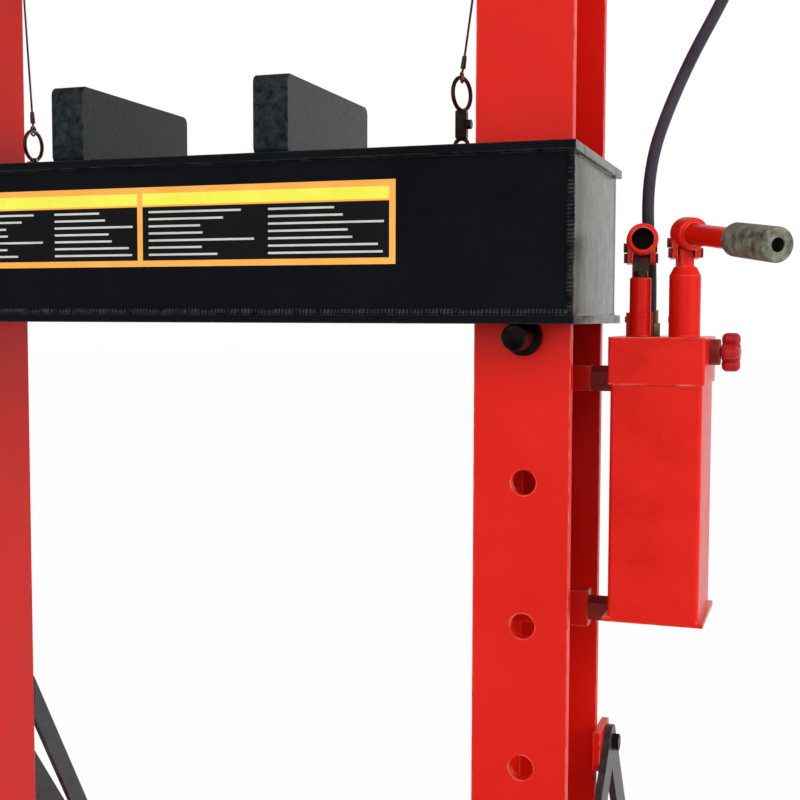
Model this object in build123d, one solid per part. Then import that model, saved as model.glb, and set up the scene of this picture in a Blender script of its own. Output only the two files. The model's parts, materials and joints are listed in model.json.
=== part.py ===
from build123d import *
import math
import os

# Free-standing hydraulic workshop press. Two channel uprights stand in a foot
# each and carry a crosshead with the ram cylinder. A box-shaped bed hangs on
# two wire ropes and rests on two pins. A two-speed hand pump sits on the
# outer side of the right upright and feeds the cylinder through a hose.
# Millimetres. X runs from left to right, Y from front to back, Z up.
# The origin is on the floor, midway between the feet.

# Uprights
throat_width = 720.0
upright_flange = 108.0
upright_depth = 198.0
upright_plate = 12.0
upright_top = 1760.0

# Bed, and the pins it rests on
bed_bottom = 900.0
bed_height = 190.0
bed_depth = 302.0
bed_web_plate = 10.0
bed_flange_plate = 10.0
bed_lip = 8.0
bed_end_lip = 6.0
bed_end_plate = 6.0
bed_side_gap = 5.0
bed_end_gap = 1.0
bed_weld = 6.0
hole_pitch = 160.0
holes_below = 4
holes_above = 1
pin_row = 57.0
pin_radius = 14.0
pin_fit = 0.08
pin_seat_gap = 0.3
pin_collar_radius = 20.5
pin_collar_thick = 8.0
pin_chamfer = 2.0

# Press plates that lie on the bed
press_plate_width = 43.0
press_plate_length = 260.0
press_plate_height = 91.0
press_plate_corner = 10.0
left_press_plate_x = -138.0
right_press_plate_x = 128.0

# Feet and their braces
foot_length = 800.0
foot_height = 58.0
foot_plate = 8.0
foot_clear = 1.0
anchor_hole_radius = 7.0
anchor_inset = 35.0
brace_width = 43.0
brace_thick = 9.0
brace_back = 13.0
brace_apex_z = 375.0
brace_front_inset = 145.0
brace_rear_inset = 40.0
brace_lap_gap = 0.2
lug_height = 48.0
lug_front = 32.0
lug_rear = 20.0
stay_width = 31.0
stay_thick = 8.0
stay_top_z = 351.0
stay_foot_inset = 119.5
tie_depth = 60.0
tie_plate = 6.0

# Crosshead, cylinder and ram
beam_height = 200.0
beam_web_plate = 8.0
beam_flange = 62.0
beam_flange_plate = 10.0
beam_overhang = 4.0
beam_bolt_inset = 30.0
beam_bolt_margin = 45.0
cylinder_plate_length = 220.0
cylinder_plate_thick = 20.0
cylinder_radius = 57.5
cylinder_bore = 40.0
cylinder_length = 200.0
cylinder_cap = 28.0
spigot_radius = 47.0
spigot_length = 32.0
ring_nut_radius = 64.0
ring_nut_thick = 24.0
rod_radius = 30.0
rod_fit = 0.06
cylinder_top_round = 7.0
nut_notch = 12.0
piston_top_gap = 10.0
piston_thick = 30.0
ram_head_radius = 38.0
ram_head_thick = 16.0
ram_head_gap = 14.0
ram_head_chamfer = 3.0

# Fasteners
large_bolt_radius = 9.0
large_bolt_flats = 28.0
large_bolt_head = 12.0
small_bolt_radius = 6.0
small_bolt_flats = 19.0
small_bolt_head = 8.0
bolt_clear = 0.5
nut_less = 2.0

# Hand pump
pump_gap = 36.5
pump_drop = 14.0
pump_width = 99.0
pump_depth = 124.0
tank_height = 264.0
tank_wall = 3.0
tank_corner = 5.0
tank_base_plate = 5.0
tank_base_lip = 5.0
head_height = 52.0
head_lip = 2.5
head_corner = 3.0
head_bore_floor = 8.0
plunger_rest_gap = 6.0
plunger_fit = 0.06

# Small stage: the socket beside the handle
small_turn = 10.0
small_cylinder_x = -26.5
small_cylinder_radius = 12.0
small_cylinder_height = 66.5
small_cylinder_chamfer = 1.5
small_plunger_radius = 8.0
small_pin_height = 88.0
small_shoulder_drop = 14.0
small_fulcrum_arm = 24.0
small_socket_radius = 17.0
small_socket_height = 107.0
small_socket_setback = 15.0
small_socket_length = 37.0
small_socket_depth = 32.0
small_socket_round = 3.0

# Large stage: the lever that holds the handle
large_turn = 10.0
large_cylinder_x = 23.0
large_cylinder_radius = 17.5
large_cylinder_height = 68.0
large_cylinder_neck = 10.0
large_neck_wall = 2.0
large_plunger_radius = 10.5
large_pin_height = 93.5
large_shoulder_drop = 15.0
large_fulcrum_arm = 28.0
large_socket_radius = 18.0
large_socket_height = 115.0
large_socket_setback = 8.0
large_socket_reach = 19.0
large_socket_depth = 27.0
large_socket_round = 3.0

# Pins, cheeks and links that both stages share
socket_bore = 12.0
fulcrum_rise = 13.0
lever_pin_radius = 3.5
lever_pin_fit = 0.06
lever_pin_head = 5.5
lever_pin_head_thick = 4.0
link_pin_proud = 1.5
cheek_thick = 5.5
cheek_margin = 8.0
cheek_low = 6.0
cheek_high = 6.0
cheek_corner = 5.0
tongue_half = 9.0
tongue_gap = 0.5
tongue_depth = 9.5
tongue_top = 5.5
tongue_corner = 4.5
tongue_slot_play = 2.6
front_relief = 6.4
rear_relief = 8.5
link_base_height = 19.0
link_half = 6.0
link_end = 7.0
link_corner = 5.0
base_lug_half = 9.0
base_lug_top = 8.0

# Handle, its grip and the release valve
handle_turn = 33.0
handle_dip = 7.0
handle_radius = 11.5
handle_wall = 2.5
grip_start = 110.0
grip_radius = 17.7
grip_length = 83.0
grip_cap = 10.0
grip_bore = 7.0
grip_edge = 3.0
valve_z = -17.0
valve_radius = 14.5
valve_length = 11.0
valve_stem_radius = 5.0
valve_stem_fit = 0.06
knob_gap = 1.5
knob_thick = 20.0
knob_reach = 14.0
knob_lobe_radius = 7.5
knob_lobe_round = 6.0
knob_hub_radius = 11.0
knob_hub_round = 3.0
filler_radius = 8.0
filler_height = 7.0
filler_right = 23.0
filler_inset = 12.0
filler_edge = 1.0

# Bars that carry the pump
bracket_height = 29.0
bracket_drop = 3.5
lower_bracket_height = 42.0
bracket_stand = 6.0
bracket_depth = 20.0
spacer_flats = 26.0

# Hose between the pump and the cylinder
hose_radius = 7.0
hose_fitting_x = -21.5
hose_fitting_y = 48.0
hose_fitting_flats = 20.0
hose_ferrule_radius = 9.5
hose_fitting_height = 30.0
port_drop = 14.0
port_length = 36.0

# Bed lift: wire ropes, pulleys and winch
rope_radius = 1.5
rope_turn_radius = 30.0
rope_groove_gap = 0.2
groove_half = 3.0
rim_thick = 3.0
rim_height = 4.0
rope_lead_gap = 13.0
pulley_drop = 175.0
left_rope_y = 63.0
right_rope_y = 75.0
axle_radius = 6.0
axle_fit = 0.06
axle_plate = 4.0
spoke_hole_radius = 5.0
spoke_hole_reach = 17.0
pulley_side_gap = 3.0
pulley_slot_gap = 6.0
drop_top = 5.0
eye_inset = 56.0
eye_y = 40.0
left_ring_top = 1161.0
right_ring_top = 1198.0
ring_height = 44.0
ring_wire = 2.5
right_ring_turn = 17.0
eye_shank_radius = 5.0
eye_nut_flats = 17.0
eye_nut_height = 8.0
hook_rise = 7.0
hook_radius = 9.0
hook_wire = 3.0
link_radius = 8.0
link_wire = 2.5
clip_half = 7.0
clip_half_depth = 6.0
clip_round = 2.0
clip_bolt_flats = 10.0
clip_bolt_length = 6.0
spreader_width = 44.0
spreader_thick = 12.0
winch_x = 61.0
winch_drop = 360.0
drum_flange_radius = 45.0
drum_flange = 4.0
drum_overhang = 11.0
drum_side_gap = 4.0
shaft_proud = 4.0
cheek_half = 20.0
crank_gap = 1.0
crank_grip_round = 4.0
winch_plate = 8.0
winch_plate_height = 95.0
winch_cheek = 6.0
winch_shaft_radius = 8.0
crank_length = 130.0
crank_width = 24.0
crank_thick = 8.0
crank_grip_radius = 11.0
crank_grip_length = 90.0

# Places worked out from the sizes above
inner_x = throat_width / 2
rope_lead_x = inner_x - rope_lead_gap
eye_x = inner_x - eye_inset
outer_x = inner_x + upright_flange
face_y = upright_depth / 2
brace_apex_y = face_y + brace_back
brace_front_y = brace_front_inset - foot_length / 2
brace_rear_y = foot_length / 2 - brace_rear_inset
stay_foot_y = foot_length / 2 - stay_foot_inset
recess_y = face_y - upright_plate
recess_x = inner_x + upright_plate
foot_inner_x = inner_x - foot_clear - foot_plate
foot_outer_x = outer_x + foot_clear + foot_plate
brace_low_z = (foot_height + foot_plate) / 2
bed_top = bed_bottom + bed_height
bed_front = bed_depth / 2
pin_x = inner_x + pin_row
pin_z = bed_bottom - pin_seat_gap - pin_radius
hole_radius = pin_radius + pin_fit
beam_bottom = upright_top - beam_height
pulley_z = upright_top - pulley_drop
winch_z = upright_top - winch_drop
spigot_bottom = beam_bottom - spigot_length
ram_face = spigot_bottom - ram_head_gap - ram_head_thick
cylinder_base = beam_bottom + cylinder_plate_thick
cylinder_top = cylinder_base + cylinder_length + cylinder_cap
pump_left = outer_x + pump_gap
pump_x = pump_left + pump_width / 2
head_top = bed_bottom - pump_drop
head_bottom = head_top - head_height
tank_bottom = head_bottom - tank_height

nodes = {}


def block(x0, x1, y0, y1, z0, z1):
    low = (min(x0, x1), min(y0, y1), min(z0, z1))
    solid = Box(abs(x1 - x0), abs(y1 - y0), abs(z1 - z0),
                align=(Align.MIN, Align.MIN, Align.MIN))
    return Pos(*low) * solid


def rod(start, axis, radius, length):
    """A round bar from a point along a direction."""
    return extrude(Plane(origin=start, z_dir=axis) * Circle(radius), length)


def hexagon_bar(start, axis, flats, length):
    plane = Plane(origin=start, z_dir=axis)
    profile = RegularPolygon(flats / math.sqrt(3), 6)
    return extrude(plane * profile, length)


def ring(centre, axis, middle_radius, wire_radius):
    return Plane(origin=centre, z_dir=axis) * Torus(middle_radius, wire_radius)


def mirror_x(shape):
    return mirror(shape, about=Plane.YZ)


def group(shapes):
    """Separate solids that share one node."""
    return Compound(children=[s for shape in shapes for s in shape.solids()])


def uprights():
    base = foot_plate
    outside = block(inner_x, outer_x, -face_y, face_y, base, upright_top)
    recess = block(recess_x, outer_x + 1, -recess_y, recess_y, base - 1, upright_top + 1)
    right = outside - recess
    for step in range(-holes_below, holes_above + 1):
        height = pin_z + step * hole_pitch
        if base + 2 * pin_radius < height < beam_bottom - 2 * pin_radius:
            right -= rod((pin_x, -face_y - 1, height), (0, 1, 0), hole_radius, upright_depth + 2)
    left = mirror_x(right)
    # Bolt holes for the crosshead beams
    for height in beam_bolt_heights():
        for x in (beam_bolt_x(), -beam_bolt_x()):
            hole = rod((x, -face_y - 1, height), (0, 1, 0),
                       large_bolt_radius + bolt_clear, upright_depth + 2)
            if x > 0:
                right -= hole
            else:
                left -= hole
    # Slot in the left web, where the double pulley stands
    rim = rope_turn_radius + rim_height
    slot_front = left_rope_y - groove_half - rim_thick - pulley_side_gap
    left -= block(-recess_x - 1, -inner_x + 1, slot_front, recess_y,
                  pulley_z - rim - pulley_slot_gap, pulley_z + rim + pulley_slot_gap)
    nodes["right_upright"] = right
    nodes["left_upright"] = left


def beam_bolt_x():
    return outer_x - beam_bolt_inset


def beam_bolt_heights():
    low = beam_bottom + beam_bolt_margin + 2 * large_bolt_flats
    return (low, upright_top - beam_bolt_margin)


def feet():
    half = foot_length / 2
    outside = block(foot_inner_x, foot_outer_x, -half, half, 0, foot_height)
    inside = block(foot_inner_x + foot_plate, foot_outer_x - foot_plate,
                   -half - 1, half + 1, foot_plate, foot_height + 1)
    right = outside - inside
    middle = (foot_inner_x + foot_outer_x) / 2
    for y in (-half + anchor_inset, half - anchor_inset):
        right -= rod((middle, y, -1), (0, 0, 1), anchor_hole_radius, foot_plate + 2)
    nodes["right_foot"] = right
    nodes["left_foot"] = mirror_x(right)

    # Channel tie between the two feet
    deep = tie_depth / 2
    tie = block(-foot_inner_x, foot_inner_x, -deep, deep, 0, foot_height)
    tie -= block(-foot_inner_x - 1, foot_inner_x + 1, -deep + tie_plate, deep - tie_plate,
                 tie_plate, foot_height + 1)
    nodes["cross_tie"] = tie


def leaning_bar(x0, x1, top, bottom, width):
    """A flat bar in the YZ plane between two points, with rounded ends."""
    y_top, z_top = top
    y_low, z_low = bottom
    length = math.hypot(y_top - y_low, z_top - z_low)
    lean = math.degrees(math.atan2(y_low - y_top, z_top - z_low))
    middle = ((y_top + y_low) / 2, (z_top + z_low) / 2)
    profile = Pos(*middle) * Rot(0, 0, lean) * SlotCenterToCenter(length, width, rotation=90)
    return extrude(Plane(origin=(x0, 0, 0), x_dir=(0, 1, 0), z_dir=(1, 0, 0)) * profile, x1 - x0)


def brace_hole(y, z):
    return rod((outer_x - 1, y, z), (1, 0, 0), small_bolt_radius + bolt_clear,
               foot_outer_x + brace_thick - outer_x + 2)


def braces():
    """Two leaning bars outside each upright, bolted to a lug and to the foot."""
    inside = foot_outer_x
    outside = inside + brace_thick
    apex = (brace_apex_y, brace_apex_z)
    front_foot = (brace_front_y, brace_low_z)
    rear_foot = (brace_rear_y, brace_low_z)
    front = leaning_bar(inside, outside, apex, front_foot, brace_width)
    rear = leaning_bar(inside, outside, apex, rear_foot, brace_width)
    # The rear leg is cut back along the front leg where they meet
    rear -= leaning_bar(inside - 1, outside + 1, apex, front_foot,
                        brace_width + brace_lap_gap)
    rear = max(rear.solids(), key=lambda solid: solid.volume)
    front -= brace_hole(*apex) + brace_hole(*front_foot)
    rear -= brace_hole(*rear_foot)
    # Lug welded on the edge of the rear flange
    lug = block(outer_x, inside, brace_apex_y - lug_front - brace_back,
                brace_apex_y + lug_rear, brace_apex_z - lug_height / 2,
                brace_apex_z + lug_height / 2)
    lug -= brace_hole(*apex)
    nodes["outer_braces"] = group([front, rear, mirror_x(front), mirror_x(rear)])
    nodes["brace_lugs"] = group([lug, mirror_x(lug)])

    # Rear stays, welded behind the rear flange and inside the foot
    stay_x = foot_inner_x + foot_plate
    rise = (stay_top_z - brace_low_z) / (stay_foot_y - face_y)
    top = (face_y - stay_width, stay_top_z + rise * stay_width)
    stay = leaning_bar(stay_x, stay_x + stay_thick, top, (stay_foot_y, brace_low_z), stay_width)
    stay -= block(stay_x - 1, stay_x + stay_thick + 1, -face_y, face_y, 0, upright_top)
    nodes["rear_stays"] = group([stay, mirror_x(stay)])


def hex_bolt(head_face, axis, radius, flats, head, length):
    """Bolt whose head stands on head_face and whose shank runs along axis."""
    back = tuple(-a for a in axis)
    shank = rod(head_face, axis, radius, length)
    return shank + hexagon_bar(head_face, back, flats, head)


def beam_bolts():
    bolts = []
    grip = beam_web_plate + upright_plate
    for side in (-1, 1):
        for height in beam_bolt_heights():
            for x in (-beam_bolt_x(), beam_bolt_x()):
                outer = (x, side * (face_y + beam_web_plate), height)
                axis = (0, -side, 0)
                bolt = hex_bolt(outer, axis, large_bolt_radius, large_bolt_flats,
                                large_bolt_head, grip + large_bolt_head)
                nut_start = (x, side * recess_y, height)
                bolts.append(bolt + hexagon_bar(nut_start, axis, large_bolt_flats,
                                                large_bolt_head - nut_less))
    nodes["beam_bolts"] = group(bolts)


def brace_bolts():
    """Bolts along X with a nut behind the foot's flange or behind the lug."""
    outside = foot_outer_x + brace_thick
    bolts = []
    for y, z, back in ((brace_front_y, brace_low_z, foot_outer_x - foot_plate),
                       (brace_rear_y, brace_low_z, foot_outer_x - foot_plate),
                       (brace_apex_y, brace_apex_z, outer_x)):
        bolt = hex_bolt((outside, y, z), (-1, 0, 0), small_bolt_radius, small_bolt_flats,
                        small_bolt_head, outside - back + small_bolt_head)
        nut = hexagon_bar((back, y, z), (-1, 0, 0), small_bolt_flats,
                          small_bolt_head - nut_less)
        bolts.append(bolt + nut)
    nodes["brace_bolts"] = group(bolts + [mirror_x(b) for b in bolts])


def foot_bolt_holes():
    """Holes for the brace bolts in the outer flange of each foot."""
    for y in (brace_front_y, brace_rear_y):
        hole = rod((foot_outer_x - foot_plate - 1, y, brace_low_z), (1, 0, 0),
                   small_bolt_radius + bolt_clear, foot_plate + 2)
        nodes["right_foot"] -= hole
        nodes["left_foot"] -= mirror_x(hole)


def crosshead():
    half = outer_x + beam_overhang
    for name, side in (("front_beam", -1), ("rear_beam", 1)):
        inner = side * face_y
        web_out = side * (face_y + beam_web_plate)
        edge = side * (face_y + beam_flange)
        beam = block(-half, half, inner, edge, beam_bottom, upright_top)
        beam -= block(-half - 1, half + 1, web_out, edge + side,
                      beam_bottom + beam_flange_plate, upright_top - beam_flange_plate)
        for height in beam_bolt_heights():
            for x in (-beam_bolt_x(), beam_bolt_x()):
                beam -= rod((x, inner - side, height), (0, side, 0),
                            large_bolt_radius + bolt_clear, beam_web_plate + 2)
        nodes[name] = beam

    length = cylinder_plate_length / 2
    plate = block(-length, length, -face_y, face_y, beam_bottom, cylinder_base)
    plate -= rod((0, 0, beam_bottom - 1), (0, 0, 1), spigot_radius, cylinder_plate_thick + 2)
    nodes["cylinder_plate"] = plate

    body = rod((0, 0, cylinder_base), (0, 0, 1), cylinder_radius, cylinder_length + cylinder_cap)
    body = fillet(body.edges().group_by(Axis.Z)[-1], cylinder_top_round)
    body += rod((0, 0, spigot_bottom), (0, 0, 1), spigot_radius, cylinder_base - spigot_bottom)
    body -= rod((0, 0, spigot_bottom - 1), (0, 0, 1), rod_radius + rod_fit,
                cylinder_base - spigot_bottom + 1)
    body -= rod((0, 0, cylinder_base), (0, 0, 1), cylinder_bore, cylinder_length)
    nodes["cylinder_body"] = body

    nut = rod((0, 0, beam_bottom - ring_nut_thick), (0, 0, 1), ring_nut_radius, ring_nut_thick)
    nut -= rod((0, 0, spigot_bottom - 1), (0, 0, 1), spigot_radius, 2 * spigot_length)
    for turn in range(4):
        notch = Rot(0, 0, 90 * turn) * Pos(ring_nut_radius, 0, beam_bottom - ring_nut_thick / 2)
        nut -= notch * Box(nut_notch, nut_notch, ring_nut_thick + 2)
    nodes["cylinder_ring_nut"] = nut

    piston_top = cylinder_base + cylinder_length - piston_top_gap
    ram = rod((0, 0, ram_face + ram_head_thick), (0, 0, 1), rod_radius,
              piston_top - ram_face - ram_head_thick)
    ram += rod((0, 0, piston_top - piston_thick), (0, 0, 1), cylinder_bore - rod_fit, piston_thick)
    nodes["ram_rod"] = ram
    head = rod((0, 0, ram_face), (0, 0, 1), ram_head_radius, ram_head_thick)
    nodes["ram_head"] = chamfer(head.edges().group_by(Axis.Z)[0], ram_head_chamfer)


def bed():
    half = outer_x + bed_end_gap + bed_end_plate
    tip = half + bed_end_lip
    web_face = bed_front - bed_lip
    flange_inner = face_y + bed_side_gap
    web_low = bed_bottom + bed_flange_plate
    web_high = bed_top - bed_flange_plate
    for name, side in (("bed_front_beam", -1), ("bed_rear_beam", 1)):
        beam = block(-half, half, side * (web_face - bed_web_plate), side * web_face,
                     web_low, web_high)
        for z in (bed_bottom, web_high):
            beam += block(-tip, tip, side * flange_inner, side * bed_front,
                          z, z + bed_flange_plate)
        # Fillet weld along the foot of the web
        seam = Polyline((web_face, web_low), (web_face + bed_weld, web_low),
                        (web_face, web_low + bed_weld), close=True)
        profile = Plane(origin=(-half, 0, 0), x_dir=(0, 1, 0), z_dir=(1, 0, 0)) * make_face(seam)
        weld = extrude(profile, 2 * half)
        if side < 0:
            weld = mirror(weld, about=Plane.XZ)
        nodes[name] = beam + weld

    inner_end = outer_x + bed_end_gap
    web_inner = web_face - bed_web_plate
    end = block(inner_end, half, -web_inner, web_inner, web_low, web_high)
    for z in (bed_bottom, web_high):
        end += block(inner_end, tip, -flange_inner, flange_inner, z, z + bed_flange_plate)
    nodes["bed_ends"] = group([end, mirror_x(end)])

    # Spreader bars under the top flanges carry the lifting eyes
    spreaders = []
    for x in (-eye_x, eye_x):
        bar = block(x - spreader_width / 2, x + spreader_width / 2, -web_inner, web_inner,
                    web_high - spreader_thick, web_high)
        bar -= rod((x, eye_y, web_high - spreader_thick - 1), (0, 0, 1),
                   eye_shank_radius + bolt_clear, spreader_thick + 2)
        spreaders.append(bar)
    nodes["bed_spreaders"] = group(spreaders)

    for name, x in (("left_press_plate", left_press_plate_x),
                    ("right_press_plate", right_press_plate_x)):
        plate = block(x - press_plate_width / 2, x + press_plate_width / 2,
                      -press_plate_length / 2, press_plate_length / 2,
                      bed_top, bed_top + press_plate_height)
        nodes[name] = fillet(plate.edges().filter_by(Axis.X), press_plate_corner)


def lifting_eyes():
    spreader_top = bed_top - bed_flange_plate
    bolts = []
    rings = []
    # Left: the rope ring is welded on a plain stud
    left_centre = left_ring_top - ring_height / 2
    stud_top = left_centre - ring_height / 2 + 2 * ring_wire
    stud_low = spreader_top - spreader_thick - 2 * eye_nut_height
    for x, top in ((-eye_x, stud_top), (eye_x, spreader_top + 2 * eye_nut_height)):
        stud = rod((x, eye_y, stud_low), (0, 0, 1), eye_shank_radius, top - stud_low)
        stud += hexagon_bar((x, eye_y, spreader_top), (0, 0, 1), eye_nut_flats, eye_nut_height)
        stud += hexagon_bar((x, eye_y, spreader_top - spreader_thick), (0, 0, -1),
                            eye_nut_flats, eye_nut_height)
        bolts.append(stud)
    collar_low = stud_top - 2 * ring_wire - eye_nut_height
    bolts[0] += hexagon_bar((-eye_x, eye_y, collar_low), (0, 0, 1), eye_nut_flats, eye_nut_height)
    middle = ring_height / 2 - ring_wire
    rings.append(ring((-eye_x, eye_y, left_centre), (1, 0, 0), middle, ring_wire)
                 - bolts[0])
    # Right: hook, link, rope clip and a loose ring above each other
    hook_z = spreader_top + 2 * eye_nut_height + hook_rise
    bolts[1] += ring((eye_x, eye_y, hook_z), (1, 0, 0), hook_radius, hook_wire)
    link_z = hook_z + hook_radius - hook_wire + link_radius - link_wire
    link = ring((eye_x, eye_y, link_z), (0, 1, 0), link_radius, link_wire)
    clip_low = link_z + link_radius
    right_centre = right_ring_top - ring_height / 2
    clip_top = right_centre - ring_height / 2 + ring_wire
    clip = block(eye_x - clip_half, eye_x + clip_half, eye_y - clip_half_depth,
                 eye_y + clip_half_depth, clip_low, clip_top)
    clip = fillet(clip.edges(), clip_round)
    clip += hexagon_bar((eye_x + clip_half - 0.5, eye_y, (clip_low + clip_top) / 2), (1, 0, 0),
                        clip_bolt_flats, clip_bolt_length)
    turn = math.radians(right_ring_turn)
    right_axis = (math.cos(turn), -math.sin(turn), 0)
    rings.append(ring((eye_x, eye_y, right_centre), right_axis, middle, ring_wire) - clip)
    nodes["eye_bolts"] = group([bolts[0], bolts[1] - link])
    nodes["right_rope_clip"] = group([clip - link, link])
    nodes["rope_rings"] = group(rings)


def bed_pins():
    start = (pin_x, -bed_front, pin_z)
    pin = rod(start, (0, 1, 0), pin_radius, bed_depth)
    pin = chamfer(pin.edges(), pin_chamfer)
    collar_front = -face_y - pin_seat_gap - pin_collar_thick
    collar = rod((pin_x, collar_front, pin_z), (0, 1, 0), pin_collar_radius, pin_collar_thick)
    high = bed_bottom - pin_seat_gap
    collar -= block(pin_x - 2 * pin_collar_radius, pin_x + 2 * pin_collar_radius,
                    -bed_front, -recess_y, high, high + pin_collar_radius)
    pin += collar
    nodes["right_bed_pin"] = pin
    nodes["left_bed_pin"] = mirror_x(pin)


def pump_tank():
    half_y = pump_depth / 2
    inner = tank_wall
    tank = block(pump_left, pump_left + pump_width, -half_y, half_y, tank_bottom, head_bottom)
    tank = fillet(tank.edges().filter_by(Axis.Z), tank_corner)
    hollow = block(pump_left + inner, pump_left + pump_width - inner, -half_y + inner,
                   half_y - inner, tank_bottom + tank_base_plate, head_bottom + 1)
    tank -= fillet(hollow.edges().filter_by(Axis.Z), tank_corner - tank_wall)
    tank += block(pump_left - tank_base_lip, pump_left + pump_width + tank_base_lip,
                  -half_y, half_y, tank_bottom, tank_bottom + tank_base_plate)
    nodes["pump_tank"] = tank


small_set = {
    "x": small_cylinder_x,
    "turn": math.radians(small_turn),
    "socket_turn": math.radians(small_turn),
    "dip": 0.0,
    "cylinder_radius": small_cylinder_radius,
    "cylinder_height": small_cylinder_height,
    "plunger_radius": small_plunger_radius,
    "pin_height": small_pin_height,
    "shoulder_drop": small_shoulder_drop,
    "arm": small_fulcrum_arm,
    "fulcrum_height": small_pin_height + fulcrum_rise,
    "socket_height": small_socket_height,
    "setback": small_socket_setback,
}
large_set = {
    "x": large_cylinder_x,
    "turn": math.radians(large_turn),
    "socket_turn": math.radians(handle_turn),
    "dip": math.radians(handle_dip),
    "cylinder_radius": large_cylinder_radius,
    "cylinder_height": large_cylinder_height,
    "plunger_radius": large_plunger_radius,
    "pin_height": large_pin_height,
    "shoulder_drop": large_shoulder_drop,
    "arm": large_fulcrum_arm,
    "fulcrum_height": large_pin_height + fulcrum_rise,
    "socket_height": large_socket_height,
    "setback": large_socket_setback,
}
cheek_inner = tongue_half + tongue_gap
cheek_outer = cheek_inner + cheek_thick


def lever_point(s, sideways, back, up):
    """A point of one stage: sideways and back are turned with its lever."""
    x = pump_x + s["x"] + sideways * math.cos(s["turn"]) - back * math.sin(s["turn"])
    y = sideways * math.sin(s["turn"]) + back * math.cos(s["turn"])
    return (x, y, head_top + up)


def lever_plane(s, sideways, back, up):
    """Plane across the levers: its normal points sideways, its X backwards."""
    back_dir = (-math.sin(s["turn"]), math.cos(s["turn"]), 0)
    side_dir = (math.cos(s["turn"]), math.sin(s["turn"]), 0)
    return Plane(origin=lever_point(s, sideways, back, up), x_dir=back_dir, z_dir=side_dir)


def lever_block(s, side0, side1, back0, back1, up0, up1):
    plane = lever_plane(s, side0, (back0 + back1) / 2, (up0 + up1) / 2)
    return extrude(plane * Rectangle(back1 - back0, up1 - up0), side1 - side0)


def lever_rod(s, half, back, up, radius):
    """A round bar across a lever, from one side to the other."""
    return extrude(lever_plane(s, -half, back, up) * Circle(radius), 2 * half)


def lever_axis(s):
    """Direction in which the socket of a lever points."""
    level = math.cos(s["dip"])
    aside, ahead = math.sin(s["socket_turn"]), -math.cos(s["socket_turn"])
    return (aside * level, ahead * level, -math.sin(s["dip"]))


def along(point, direction, distance):
    return tuple(p + d * distance for p, d in zip(point, direction))


def pump_head():
    """Cast block on the tank, with a pair of lugs behind each cylinder."""
    half_y = pump_depth / 2 + head_lip
    head = block(pump_left - head_lip, pump_left + pump_width + head_lip,
                 -half_y, half_y, head_bottom, head_top)
    head = fillet(head.edges().filter_by(Axis.Z), head_corner)
    for s in (small_set, large_set):
        bore = s["plunger_radius"] + plunger_fit
        head -= rod((pump_x + s["x"], 0, head_bottom + head_bore_floor), (0, 0, 1),
                    bore, head_height)
    for s in (small_set, large_set):
        for side0 in (-cheek_outer, cheek_inner):
            head += lever_block(s, side0, side0 + cheek_thick, s["arm"] - base_lug_half,
                                s["arm"] + base_lug_half, -1, link_base_height + base_lug_top)
        head -= lever_rod(s, 2 * cheek_outer, s["arm"], link_base_height, lever_pin_radius)
    nodes["pump_head"] = head


def pump_cylinders():
    for name, s in (("small_pump_cylinder", small_set), ("large_pump_cylinder", large_set)):
        centre = (pump_x + s["x"], 0)
        top = head_top + s["cylinder_height"]
        bore = s["plunger_radius"] + plunger_fit
        tube = rod((*centre, head_top), (0, 0, 1), s["cylinder_radius"], s["cylinder_height"])
        if s is large_set:
            tube += loft([
                Pos(*centre, top) * Circle(s["cylinder_radius"]),
                Pos(*centre, top + large_cylinder_neck) * Circle(bore + large_neck_wall),
            ])
        else:
            tube = chamfer(tube.edges().group_by(Axis.Z)[-1], small_cylinder_chamfer)
        tube -= rod((*centre, head_top - 1), (0, 0, 1), bore,
                    s["cylinder_height"] + large_cylinder_neck + 2)
        nodes[name] = tube


def plungers():
    """Round stems with a flat tongue, whose slot takes the lever's front pin."""
    for name, s in (("small_plunger", small_set), ("large_plunger", large_set)):
        low = head_bottom + head_bore_floor + plunger_rest_gap
        shoulder = s["pin_height"] - s["shoulder_drop"]
        stem = rod((pump_x + s["x"], 0, low), (0, 0, 1), s["plunger_radius"],
                   head_top + shoulder - low)
        tongue = lever_block(s, -tongue_half, tongue_half, -tongue_depth, tongue_depth,
                             shoulder - 1, s["pin_height"] + tongue_top)
        tongue = fillet(tongue.edges().group_by(Axis.Z)[-1].filter_by(
            lambda e: abs(e.length - 2 * tongue_half) < 0.01), tongue_corner)
        turned = rod((pump_x + s["x"], 0, head_top + shoulder - 1), (0, 0, 1),
                     s["plunger_radius"], s["shoulder_drop"] + tongue_top + 2)
        plane = lever_plane(s, -2 * tongue_half, -tongue_slot_play / 2, s["pin_height"])
        slot = SlotCenterToCenter(2 * tongue_slot_play, 2 * (lever_pin_radius + tongue_gap))
        body = stem + (tongue & turned if s is large_set else tongue)
        nodes[name] = body - extrude(plane * slot, 4 * tongue_half)


def socket_body(s):
    """Small: a plain round socket. Large: a short one with a ball-shaped back."""
    axis = lever_axis(s)
    start = lever_point(s, 0, -s["setback"], s["socket_height"])
    if s is small_set:
        body = rod(start, axis, small_socket_radius, small_socket_length)
        body = fillet(body.edges(), small_socket_round)
        return body, along(start, axis, small_socket_length), small_socket_depth
    body = rod(start, axis, large_socket_radius, large_socket_reach)
    circles = body.edges().filter_by(GeomType.CIRCLE)
    body = fillet(circles.sort_by(lambda e: e.arc_center.Y)[0], large_socket_round)
    body += Pos(*start) * Sphere(large_socket_radius)
    return body, along(start, axis, large_socket_reach), large_socket_depth


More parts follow.
